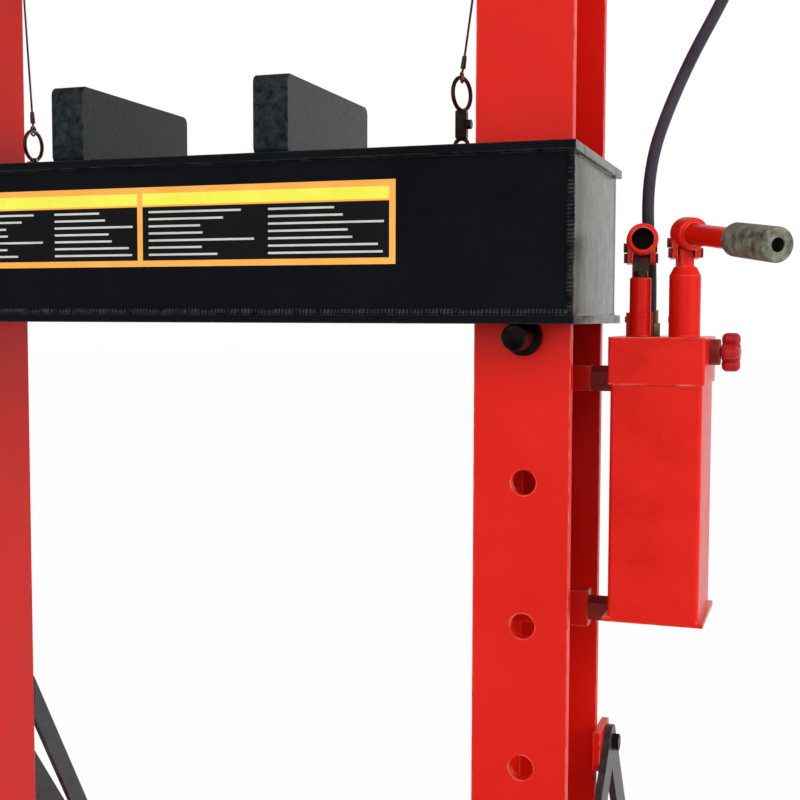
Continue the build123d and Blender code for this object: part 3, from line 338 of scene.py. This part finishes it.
join(weld_run, (weld_in, "Geometry", weld_steps, "Curve"), (weld_param, "Length", weld_phase, 0),
     (weld_in, "Pitch", weld_phase, 1), (weld_phase, "Value", weld_wave, 0),
     (weld_noise, "Fac", weld_blob, 0), (weld_in, "Uneven", weld_blob, 1),
     (weld_wave, "Value", weld_sum, 0), (weld_blob, "Value", weld_sum, 2),
     (weld_sum, "Value", weld_base, 0), (weld_base, "Value", weld_size, 0),
     (weld_in, "Bead", weld_size, 1), (weld_steps, "Curve", weld_tube, "Curve"),
     (weld_round, "Curve", weld_tube, "Profile Curve"), (weld_size, "Value", weld_tube, "Scale"),
     (weld_tube, "Mesh", weld_real, "Geometry"), (weld_real, "Geometry", weld_paint, "Geometry"),
     (weld_in, "Material", weld_paint, "Material"), (weld_paint, "Geometry", weld_out, "Geometry"))

bed_half, bed_web, bed_low, bed_high = 0.474, 0.143, 0.910, 1.080
seam_out, seam_up, seam_bead, seam_uneven = 0.003, 0.002, 0.0042, 0.5
corner_out, corner_bead, corner_uneven, bead_pitch = 0.001, 0.0036, 0.9, 0.0042
bed_welds = []
for name, y in (("front_lower_weld", -bed_web - seam_out), ("rear_lower_weld", bed_web + seam_out)):
    ends = [(-bed_half, y, bed_low + seam_up), (bed_half, y, bed_low + seam_up)]
    bed_welds.append((name, ends, seam_bead, seam_uneven))
for name, x in (("right_corner_weld", bed_half + corner_out),
                ("left_corner_weld", -bed_half - corner_out)):
    ends = [(x, -bed_web, bed_low), (x, -bed_web, bed_high)]
    bed_welds.append((name, ends, corner_bead, corner_uneven))
for name, ends, bead, uneven in bed_welds:
    weld = grow(poly_path(name, ends), weld_run, Bead=bead, Pitch=bead_pitch, Uneven=uneven,
                Material=bed_black)
    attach(weld, "bed")

# The label on the front of the bed: a printed sheet in an orange frame, with
# two black fields under yellow strips and rows of plain pale bars, stuck flat.
label_left, label_right, label_low, label_high = -0.283, 0.283, 0.9646, 1.0563
label_split, label_frame, label_face = -0.032, 0.0072, -0.143
film_gap, frame_proud, field_proud, bars_proud = 0.0001, 0.0004, 0.0006, 0.0009
strip_height, strip_gap = 0.0135, 0.002
bar_rows, bar_pitch, bar_height, bar_seed = 7, 0.0082, 0.0024, 7
bar_margin, bar_drop, bar_spare = 0.008, 0.008, 0.014
bars, bars_in, bars_out = new_geometry_group("label_bars", [
    ("Rows", "NodeSocketInt"), ("Pitch", "NodeSocketFloat"), ("Longest", "NodeSocketFloat"),
    ("Height", "NodeSocketFloat"), ("Seed", "NodeSocketInt"), ("Corner", "NodeSocketVector"),
    ("Material", "NodeSocketMaterial")])
bar_line = add_node(bars, "GeometryNodeMeshLine", mode="OFFSET")
bar_step = add_node(bars, "ShaderNodeCombineXYZ")
bar_down = add_node(bars, "ShaderNodeMath", operation="MULTIPLY")
bar_down.inputs[1].default_value = -1.0
bar_box = add_node(bars, "GeometryNodeMeshCube", Size=(1.0, 0.0003, 1.0))
bar_put = add_node(bars, "GeometryNodeInstanceOnPoints")
bar_share = add_node(bars, "FunctionNodeRandomValue", data_type="FLOAT")
least, most, chosen = 2, 3, 1
bar_share.inputs[least].default_value = 0.45
bar_share.inputs[most].default_value = 1.0
bar_long = add_node(bars, "ShaderNodeMath", operation="MULTIPLY")
bar_size = add_node(bars, "ShaderNodeCombineXYZ", Y=1.0)
bar_move = add_node(bars, "GeometryNodeTranslateInstances", Local_Space=False)
bar_half = add_node(bars, "ShaderNodeMath", operation="MULTIPLY")
bar_half.inputs[1].default_value = 0.5
bar_shift = add_node(bars, "ShaderNodeCombineXYZ")
bar_real = add_node(bars, "GeometryNodeRealizeInstances")
bar_paint = add_node(bars, "GeometryNodeSetMaterial")
join(bars, (bars_in, "Rows", bar_line, "Count"), (bars_in, "Corner", bar_line, "Start Location"),
     (bars_in, "Pitch", bar_down, 0), (bar_down, "Value", bar_step, "Z"),
     (bar_step, "Vector", bar_line, "Offset"), (bars_in, "Seed", bar_share, "Seed"),
     (bar_share, chosen, bar_long, 0), (bars_in, "Longest", bar_long, 1),
     (bar_long, "Value", bar_size, "X"), (bars_in, "Height", bar_size, "Z"),
     (bar_line, "Mesh", bar_put, "Points"), (bar_box, "Mesh", bar_put, "Instance"),
     (bar_size, "Vector", bar_put, "Scale"), (bar_long, "Value", bar_half, 0),
     (bar_half, "Value", bar_shift, "X"), (bar_put, "Instances", bar_move, "Instances"),
     (bar_shift, "Vector", bar_move, "Translation"), (bar_move, "Instances", bar_real, "Geometry"),
     (bar_real, "Geometry", bar_paint, "Geometry"), (bars_in, "Material", bar_paint, "Material"),
     (bar_paint, "Geometry", bars_out, "Geometry"))


def printed(name, colour, dull):
    """Printed film: a flat colour with a slight fade."""
    return painted(name, colour, dull, colour, roughness=(0.35, 0.5), cloud=25.0, depth=0.00002)


label_orange = printed("label_orange", (0.98, 0.44, 0.085), (0.90, 0.36, 0.05))
label_yellow = printed("label_yellow", (0.86, 0.84, 0.09), (0.80, 0.74, 0.06))
label_black = printed("label_black", (0.006, 0.006, 0.008), (0.004, 0.004, 0.005))
label_white = printed("label_white", (0.62, 0.62, 0.58), (0.45, 0.45, 0.42))


def label_field(name, x0, x1, z0, z1, proud, material):
    """One flat field of the label, standing proud of the bed's face."""
    mesh = bpy.data.meshes.new(name)
    work = bmesh.new()
    bmesh.ops.create_cube(work, size=1.0)
    for vert in work.verts:
        vert.co.x = x0 + (vert.co.x + 0.5) * (x1 - x0)
        vert.co.y = label_face - film_gap - (0.5 - vert.co.y) * proud
        vert.co.z = z0 + (vert.co.z + 0.5) * (z1 - z0)
    work.to_mesh(mesh)
    work.free()
    mesh.materials.append(material)
    field = new_object(name, mesh)
    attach(field, "bed")


label_field("label_frame", label_left, label_right, label_low, label_high, frame_proud, label_orange)
strip_top = label_high - label_frame
strip_low = strip_top - strip_height
for side, x0, x1 in (("left", label_left + label_frame, label_split - label_frame / 2),
                     ("right", label_split + label_frame / 2, label_right - label_frame)):
    label_field(f"label_{side}_strip", x0, x1, strip_low, strip_top, field_proud, label_yellow)
    label_field(f"label_{side}_field", x0, x1, label_low + label_frame, strip_low - strip_gap,
                field_proud, label_black)
    for column in range(2):
        corner = (x0 + bar_margin + column * (x1 - x0) / 2, label_face - bars_proud, strip_low - bar_drop)
        print_bars = new_object(f"label_{side}_bars_{column}", bpy.data.meshes.new("bars"))
        print_bars = grow(print_bars, bars, Rows=bar_rows, Pitch=bar_pitch, Corner=corner,
                          Longest=(x1 - x0) / 2 - bar_spare, Height=bar_height, Seed=bar_seed + column,
                          Material=label_white)
        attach(print_bars, "bed")

# Press plates: two heavy blocks with rounded ends that lie across the bed,
# in a coarser, speckled black.
plate_black = painted("plate_black", (0.024, 0.032, 0.036), (0.003, 0.005, 0.008), (0.05, 0.052, 0.05),
                      roughness=(0.24, 0.42), cloud=120.0, peel=260.0, depth=0.0006, patch=120.0,
                      ior=1.35)
for node in ("left_press_plate", "right_press_plate"):
    dress(node, node + "_block", plate_black, 0.0015)

# Bed pins: thick turned bars with a welded collar, black with rub marks. They
# go through the uprights' pin holes, and the bed rests on them.
for node in ("left_bed_pin", "right_bed_pin"):
    dress(node, node + "_bar", blackened_steel, 0.0004)

# Lifting tackle of the bed: studs through the spreaders, wire rings, a small
# link and the block that clips the rope.
yellow_zinc = oiled_steel("yellow_zinc", (0.62, 0.50, 0.22), (0.33, 0.27, 0.14), (0.28, 0.45))
ring_steel = oiled_steel("ring_steel", (0.30, 0.29, 0.24), (0.12, 0.115, 0.09), (0.30, 0.5))
dress("eye_bolts", "lifting_studs", yellow_zinc, 0.0003)
dress("right_rope_clip", "rope_clip_block", ring_steel, 0.0003)
dress("rope_rings", "rope_end_rings", ring_steel, 0.0)

# Pulleys, winch and crank lift the bed. Grooved wheels on short axles, and a
# drum between two cheeks on the outer edge of the left upright.
for node in ("left_pulley", "right_pulley"):
    dress(node, node + "_wheel", turned_steel, 0.0004)
dress("pulley_brackets", "pulley_ears", brace_black, 0.0004)
dress("winch_frame", "winch_cheeks", brace_black, 0.0006)
dress("winch_drum", "winch_rope_drum", turned_steel, 0.0004)
dress("winch_crank", "winch_crank_arm", brace_black, 0.0006)

# Wire ropes: steel strands laid round each other. They run from the drum over
# the wheels and hang down to the rings of the bed.
wire = oiled_steel("wire_rope_steel", (0.50, 0.44, 0.42), (0.30, 0.26, 0.25), (0.35, 0.5))
strand_twist, strand_in, strand_out = new_geometry_group("strand_twist", [
    ("Geometry", "NodeSocketGeometry"), ("Strands", "NodeSocketInt"), ("Lay", "NodeSocketFloat"),
    ("Reach", "NodeSocketFloat"), ("Strand", "NodeSocketFloat"), ("Material", "NodeSocketMaterial")])
twist_copies = add_node(strand_twist, "GeometryNodeDuplicateElements", domain="SPLINE")
twist_steps = add_node(strand_twist, "GeometryNodeResampleCurve", mode="LENGTH", Length=0.0012)
twist_param = add_node(strand_twist, "GeometryNodeSplineParameter")
twist_turns = add_node(strand_twist, "ShaderNodeMath", operation="DIVIDE")
twist_phase = add_node(strand_twist, "ShaderNodeMath", operation="DIVIDE")
twist_sum = add_node(strand_twist, "ShaderNodeMath", operation="ADD")
twist_angle = add_node(strand_twist, "ShaderNodeMath", operation="MULTIPLY")
twist_angle.inputs[1].default_value = 2 * math.pi
twist_normal = add_node(strand_twist, "GeometryNodeInputNormal")
twist_tangent = add_node(strand_twist, "GeometryNodeInputTangent")
twist_turn = add_node(strand_twist, "ShaderNodeVectorRotate", rotation_type="AXIS_ANGLE")
twist_reach = add_node(strand_twist, "ShaderNodeVectorMath", operation="SCALE")
twist_place = add_node(strand_twist, "GeometryNodeSetPosition")
twist_keep = add_node(strand_twist, "GeometryNodeStoreNamedAttribute", data_type="FLOAT",
                      domain="CURVE", Name="strand")
twist_read = add_node(strand_twist, "GeometryNodeInputNamedAttribute", data_type="FLOAT", Name="strand")
twist_round = add_node(strand_twist, "GeometryNodeCurvePrimitiveCircle", Resolution=6)
twist_tube = add_node(strand_twist, "GeometryNodeCurveToMesh")
twist_real = add_node(strand_twist, "GeometryNodeRealizeInstances")
twist_paint = add_node(strand_twist, "GeometryNodeSetMaterial")
join(strand_twist, (strand_in, "Geometry", twist_copies, "Geometry"),
     (strand_in, "Strands", twist_copies, "Amount"),
     (twist_copies, "Geometry", twist_keep, "Geometry"),
     (twist_copies, "Duplicate Index", twist_keep, "Value"),
     (twist_keep, "Geometry", twist_steps, "Curve"), (twist_param, "Length", twist_turns, 0),
     (strand_in, "Lay", twist_turns, 1), (twist_read, "Attribute", twist_phase, 0),
     (strand_in, "Strands", twist_phase, 1), (twist_turns, "Value", twist_sum, 0),
     (twist_phase, "Value", twist_sum, 1), (twist_sum, "Value", twist_angle, 0),
     (twist_normal, "Normal", twist_turn, "Vector"), (twist_tangent, "Tangent", twist_turn, "Axis"),
     (twist_angle, "Value", twist_turn, "Angle"), (twist_turn, "Vector", twist_reach, 0),
     (strand_in, "Reach", twist_reach, "Scale"), (twist_steps, "Curve", twist_place, "Geometry"),
     (twist_reach, "Vector", twist_place, "Offset"), (strand_in, "Strand", twist_round, "Radius"),
     (twist_place, "Geometry", twist_tube, "Curve"),
     (twist_round, "Curve", twist_tube, "Profile Curve"),
     (twist_tube, "Mesh", twist_real, "Geometry"),
     (twist_real, "Geometry", twist_paint, "Geometry"),
     (strand_in, "Material", twist_paint, "Material"),
     (twist_paint, "Geometry", strand_out, "Geometry"))


def twisted_rope(name, places):
    """Five strands laid round each other along a path, 3 mm across."""
    rope = grow(poly_path(name, places), strand_twist, Strands=5, Lay=0.016, Reach=0.00085,
                Strand=0.00065, Material=wire)
    for face in rope.data.polygons:
        face.use_smooth = True
    return rope


turn_radius, wheel_z, drum_x, drum_z = 0.030, 1.585, -0.529, 1.400
left_wheel_x, right_wheel_x, left_rope_y, right_rope_y = -0.377, 0.317, 0.063, 0.075
rope_ends = (("left", (-0.347, left_rope_y, 1.58), (-0.304, 0.040, 1.161)),
             ("right", (0.347, right_rope_y, 1.58), (0.304, 0.040, 1.198)))
leave = math.atan2(drum_z - wheel_z, drum_x - left_wheel_x) - math.pi / 2


def wheel_arc(x, y, first, last):
    """Places on the rope's turn over a wheel, between two angles."""
    steps = 14
    angles = [first + (last - first) * i / steps for i in range(steps + 1)]
    return [(x + turn_radius * math.cos(a), y, wheel_z + turn_radius * math.sin(a)) for a in angles]


to_drum = (drum_x + turn_radius * math.cos(leave), drum_z + turn_radius * math.sin(leave))
last_turn = leave % (2 * math.pi)
left_run = [rope_ends[0][1]] + wheel_arc(left_wheel_x, left_rope_y, 0, last_turn)
left_run.append((to_drum[0], left_rope_y, to_drum[1]))
right_run = [rope_ends[1][1]] + wheel_arc(right_wheel_x, right_rope_y, 0, math.pi / 2)
right_run += wheel_arc(left_wheel_x, right_rope_y, math.pi / 2, last_turn)
right_run.append((to_drum[0], right_rope_y, to_drum[1]))
for node, places in (("left_rope_run", left_run), ("right_rope_run", right_run)):
    run = twisted_rope(node + "_cable", places)
    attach(run, "frame")
    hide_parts(node)
for side, top, end in rope_ends:
    node = side + "_rope_drop"
    drop = twisted_rope(node + "_cable", [top, end])
    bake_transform(drop)
    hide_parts(node)

# Rope ends: each cable is bent round its ring as a small loop and held by a
# sleeve of soft metal that is pressed on above it.
sleeve_steel = oiled_steel("sleeve_steel", (0.42, 0.38, 0.34), (0.20, 0.18, 0.16), (0.3, 0.5))
sleeve_foot, sleeve_middle, sleeve_length, sleeve_low_radius, sleeve_top_radius = (
    0.006, 0.010, 0.016, 0.0034, 0.0028)
sleeve_rounding, sleeve_sharp = 0.0008, math.radians(50)
loop_steps, loop_width, loop_height, loop_drop = 24, 0.0052, 0.0062, 0.0022
for side, top, ring in rope_ends:
    way = (Vector(top) - Vector(ring)).normalized()
    foot = Vector(ring) + way * sleeve_foot
    sleeve_mesh = bpy.data.meshes.new(side + "_rope_sleeve")
    work = bmesh.new()
    bmesh.ops.create_cone(work, cap_ends=True, segments=24, radius1=sleeve_low_radius,
                          radius2=sleeve_top_radius, depth=sleeve_length)
    rims = [e for e in work.edges if abs(e.verts[0].co.z - e.verts[1].co.z) < sleeve_length / 2]
    bmesh.ops.bevel(work, geom=rims, offset=sleeve_rounding, segments=3, affect="EDGES")
    work.transform(way.to_track_quat("Z", "Y").to_matrix().to_4x4())
    bmesh.ops.translate(work, verts=work.verts, vec=foot + way * sleeve_middle)
    work.to_mesh(sleeve_mesh)
    work.free()
    sleeve_mesh.materials.append(sleeve_steel)
    for face in sleeve_mesh.polygons:
        face.use_smooth = True
    sleeve_mesh.set_sharp_from_angle(angle=sleeve_sharp)
    sleeve = new_object(side + "_rope_sleeve", sleeve_mesh)
    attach(sleeve, "bed")
    loop_places = []
    for i in range(loop_steps + 1):
        a = -math.pi / 2 + 2 * math.pi * i / loop_steps
        loop_places.append((ring[0], ring[1] + loop_width * math.cos(a),
                            ring[2] - loop_drop + loop_height * math.sin(a)))
    loop = twisted_rope(side + "_rope_loop", loop_places)
    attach(loop, "bed")

# The hand pump: an oil tank of thin sheet with a cast head on top, both red,
# carried by two flat bars that reach across the right upright's channel.
# The pump's pale salmon corners are a painted highlight along the edges, patchy like rubbed paint.
pump_red = painted("pump_red", (0.69, 0.009, 0.0015), (0.56, 0.006, 0.0012), (0.88, 0.26, 0.18),
                   roughness=(0.24, 0.36), cloud=16.0, peel=380.0, patch=50.0, highlight_width=0.0030, ior=1.36)
# A darker red for the support bolts, the pins and the valve boss.
dark_red = painted("dark_red", (0.30, 0.012, 0.008), (0.10, 0.012, 0.010), (0.40, 0.14, 0.10),
                   roughness=(0.35, 0.55), cloud=70.0, peel=380.0, patch=90.0)
dress("pump_tank", "pump_oil_tank", pump_red, 0.0008)
dress("pump_head", "pump_cast_head", pump_red, 0.0012)
dress("pump_brackets", "pump_support_bars", red_enamel, 0.0008)
dress("pump_spacers", "pump_support_bolts", dark_red, 0.0008)
dress("filler_plug", "tank_filler_plug", blackened_steel, 0.0003)
for node in ("small_pump_cylinder", "large_pump_cylinder"):
    dress(node, node + "_barrel", pump_red, 0.0005)
oily_steel = oiled_steel("oily_steel", (0.34, 0.24, 0.19), (0.16, 0.11, 0.09), (0.2, 0.4))
dress("small_plunger", "small_plunger_stem", oily_steel, 0.0003)
dress("large_plunger", "large_plunger_stem", pump_red, 0.0003)
for node in ("small_lever", "large_lever", "lever_links"):
    dress(node, node + "_casting", pump_red, 0.0012)
for node in ("small_lever_pins", "large_lever_pins", "link_pins"):
    dress(node, node + "_rivets", dark_red, 0.0003)
dress("pump_handle", "pump_handle_tube", pump_red, 0.0002)
dress("release_valve_body", "release_valve_boss", dark_red, 0.0006)
knob_plastic = painted("knob_plastic", (0.46, 0.012, 0.010), (0.32, 0.008, 0.008), (0.60, 0.10, 0.08),
                       roughness=(0.28, 0.42), cloud=50.0, peel=380.0, patch=90.0)
dress("release_knob", "release_valve_knob", knob_plastic, 0.0008)

# The open socket is dark inside: a thin dark film on its wall and floor stands for grease together with
# painted shade of the deep bore.
grease_and_shade = painted("socket_grease", (0.012, 0.008, 0.006), (0.004, 0.003, 0.003), (0.02, 0.015, 0.012),
                 roughness=(0.25, 0.5), cloud=90.0, peel=300.0)
socket_mouth, socket_turn = (0.53653, -0.05121, 0.993), math.radians(10)
socket_axis = (math.sin(socket_turn), -math.cos(socket_turn), 0)
socket_radius, socket_depth = 0.01194, 0.032
film_sides, film_start, film_end = 40, 0.0015, 0.0002


def film_cup(name, mouth, axis, radius, depth, body):
    """A cup of film that lines a round hole, open at the mouth."""
    mesh = bpy.data.meshes.new(name)
    work = bmesh.new()
    inward = -Vector(axis).normalized()
    turned = inward.to_track_quat("Z", "Y").to_matrix()
    rims = []
    for reach in (film_start, depth - film_end):
        centre = Vector(mouth) + inward * reach
        rim = []
        for i in range(film_sides):
            a = 2 * math.pi * i / film_sides
            rim.append(work.verts.new(centre + turned @ Vector((math.cos(a), math.sin(a), 0)) * radius))
        rims.append(rim)
    for i in range(film_sides):
        after = (i + 1) % film_sides
        work.faces.new((rims[0][i], rims[0][after], rims[1][after], rims[1][i]))
    work.faces.new(rims[1])
    work.to_mesh(mesh)
    work.free()
    mesh.materials.append(grease_and_shade)
    for face in mesh.polygons:
        face.use_smooth = len(face.vertices) == 4
    cup = new_object(name, mesh)
    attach(cup, body)


film_cup("small_socket_grease", socket_mouth, socket_axis, socket_radius, socket_depth,
         "small_pump_lever")

# Grip: a moulded rubber sleeve, matt and slightly pitted, pushed over the end
# of the handle's tube. The hole in its end is lined with a dark film: grime together with painted shade
# of the hole's depth.
grip_rubber = painted("grip_rubber", (0.24, 0.24, 0.17), (0.035, 0.036, 0.030), (0.14, 0.14, 0.12),
                      roughness=(0.5, 0.75), cloud=110.0, peel=900.0, depth=0.0005, patch=150.0)
dress("handle_grip", "handle_rubber_grip", grip_rubber, 0.0008)
grip_end, grip_axis = (0.68272, -0.16854, 0.97748), (0.54058, -0.83242, -0.12187)
grip_hole_radius, grip_hole_depth = 0.00693, 0.0098
film_cup("grip_end_grime_and_shade", grip_end, grip_axis, grip_hole_radius, grip_hole_depth,
         "large_pump_lever")

# The hose: a smooth rubber tube that leaves the pump's head, swings out to
# the right and drops on to the side of the cylinder.
hose_rubber = painted("hose_rubber", (0.050, 0.044, 0.062), (0.026, 0.023, 0.034), (0.12, 0.11, 0.12),
                      roughness=(0.40, 0.52), cloud=40.0, peel=700.0, depth=0.00015, patch=150.0)
hose_length, hose_diameter = 1.34, 0.014
hose_route = [
    (0.5325, 0.048, 0.916), (0.5325, 0.048, 0.968), (0.527, 0.045, 1.032), (0.532, 0.044, 1.092),
    (0.548, 0.044, 1.142), (0.575, 0.044, 1.204), (0.607, 0.043, 1.262), (0.639, 0.041, 1.330),
    (0.660, 0.038, 1.404), (0.666, 0.034, 1.480), (0.655, 0.030, 1.556), (0.627, 0.025, 1.626),
    (0.583, 0.020, 1.688), (0.526, 0.015, 1.742), (0.458, 0.010, 1.780), (0.382, 0.006, 1.804),
    (0.303, 0.003, 1.812), (0.225, 0.001, 1.808), (0.156, 0.0, 1.794), (0.0935, 0.0, 1.794)]
hose_line = bpy.data.curves.new("pump_pressure_hose", "CURVE")
hose_line.dimensions = "3D"
hose_spline = hose_line.splines.new("NURBS")
hose_spline.points.add(len(hose_route) - 1)
for point, place in zip(hose_spline.points, hose_route):
    point.co = (*place, 1)
hose_spline.order_u = 3
hose_spline.use_endpoint_u = True
hose_spline.resolution_u = 12
hose_line.bevel_depth = hose_diameter / 2
hose_line.bevel_resolution = 6
hose_line.use_fill_caps = True
hose_line.materials.append(hose_rubber)
hose = new_object("pump_pressure_hose", hose_line)
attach(hose, "frame")
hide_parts("pump_hose")
dress("hose_fittings", "hose_end_fittings", yellow_zinc, 0.0004)

# The floor is plain and pale and keeps the shadow of the press. To the camera
# it nearly merges with the white surround.
floor_half = 30
floor_corners = [(-floor_half, -floor_half, 0), (floor_half, -floor_half, 0),
                 (floor_half, floor_half, 0), (-floor_half, floor_half, 0)]
ground_mesh = bpy.data.meshes.new("ground")
ground_mesh.from_pydata(floor_corners, [], [(0, 1, 2, 3)])
ground = new_object("ground", ground_mesh)
pale = bpy.data.materials.new("pale_floor")
pale.use_nodes = True
tree = pale.node_tree
matt, surface = tree.nodes["Principled BSDF"], tree.nodes["Material Output"]
matt.inputs["Roughness"].default_value = 0.9
glow = add_node(tree, "ShaderNodeEmission", Strength=1.0)
path = add_node(tree, "ShaderNodeLightPath")
share = add_node(tree, "ShaderNodeMath", operation="MULTIPLY")
share.inputs[1].default_value = 0.94
blend = add_node(tree, "ShaderNodeMixShader")
join(tree, (path, "Is Camera Ray", share, 0), (share, "Value", blend, "Fac"),
     (matt, "BSDF", blend, 1), (glow, "Emission", blend, 2), (blend, "Shader", surface, "Surface"))
# In reflections the floor in front of the press is as dim as the room there
where = add_node(tree, "ShaderNodeNewGeometry")
apart = add_node(tree, "ShaderNodeSeparateXYZ")
front = add_node(tree, "ShaderNodeMapRange", From_Min=0.3, From_Max=-0.3)
gloss_front = add_node(tree, "ShaderNodeMath", operation="MULTIPLY")
shade = add_node(tree, "ShaderNodeMix", data_type="RGBA")
shade.inputs[first_colour].default_value = (0.86, 0.86, 0.86, 1)
shade.inputs[second_colour].default_value = (0.12, 0.12, 0.12, 1)
join(tree, (where, "Position", apart, "Vector"), (apart, "Y", front, "Value"),
     (front, "Result", gloss_front, 0), (path, "Is Glossy Ray", gloss_front, 1),
     (gloss_front, "Value", shade, 0), (shade, mixed_colour, matt, "Base Color"))
ground_mesh.materials.append(pale)

# The surround is even white light. Two soft suns stand in for lamps: one from
# the front and above, and a stronger, low one from the right.
surround = bpy.data.worlds.new("white_surround")
bpy.context.scene.world = surround
surround.use_nodes = True
tree = surround.node_tree
seen = add_node(tree, "ShaderNodeBackground", Color=(1, 1, 1, 1))
lit, sky = tree.nodes["Background"], tree.nodes["World Output"]
lit.inputs["Color"].default_value = (1, 1, 1, 1)
lit.inputs["Strength"].default_value = 0.62
path = add_node(tree, "ShaderNodeLightPath")
either = add_node(tree, "ShaderNodeMath", operation="MAXIMUM")
blend = add_node(tree, "ShaderNodeMixShader")
# Gloss shows the white backdrop behind the press, and a dim room elsewhere
facing = add_node(tree, "ShaderNodeTexCoord")
split = add_node(tree, "ShaderNodeSeparateXYZ")
dim = add_node(tree, "ShaderNodeMapRange", From_Min=0.60, From_Max=0.98, To_Min=0.12, To_Max=1.0)
bright = add_node(tree, "ShaderNodeMath", operation="MAXIMUM")
join(tree, (facing, "Generated", split, "Vector"), (split, "Y", dim, "Value"),
     (dim, "Result", bright, 0), (path, "Is Camera Ray", bright, 1),
     (bright, "Value", seen, "Strength"), (path, "Is Camera Ray", either, 0),
     (path, "Is Glossy Ray", either, 1), (either, "Value", blend, "Fac"),
     (lit, "Background", blend, 1), (seen, "Background", blend, 2),
     (blend, "Shader", sky, "Surface"))

soft_spread = math.radians(50)
for name, toward, power in (("soft_key", (0.10, 0.90, -0.45), 1.05),
                            ("soft_fill", (-0.90, 0.30, -0.30), 2.1)):
    lamp = bpy.data.lights.new(name, "SUN")
    lamp.energy = power
    lamp.angle = soft_spread
    holder = new_object(name, lamp)
    holder.rotation_euler = Vector(toward).to_track_quat("-Z", "Y").to_euler()
    holder.visible_glossy = False

# The camera stands level with the bed, a little to the right of the press, and
# looks slightly down and to the left. Its focal length is in the frame's pixels.
focal_pixels, frame_pixels = 1258.13, 800.0
look_down, lean, look_left = math.radians(3.7659), math.radians(0.1661), math.radians(18.8768)
lens = bpy.data.cameras.new("photo_view")
lens.sensor_width = 36.0
lens.lens = focal_pixels * lens.sensor_width / frame_pixels
eye = new_object("photo_view", lens)
eye.location = (0.73264, -1.44234, 0.90683)
eye.rotation_euler = (math.pi / 2 - look_down, -lean, look_left)
bpy.context.scene.camera = eye
bpy.context.scene.view_settings.view_transform = "Standard"
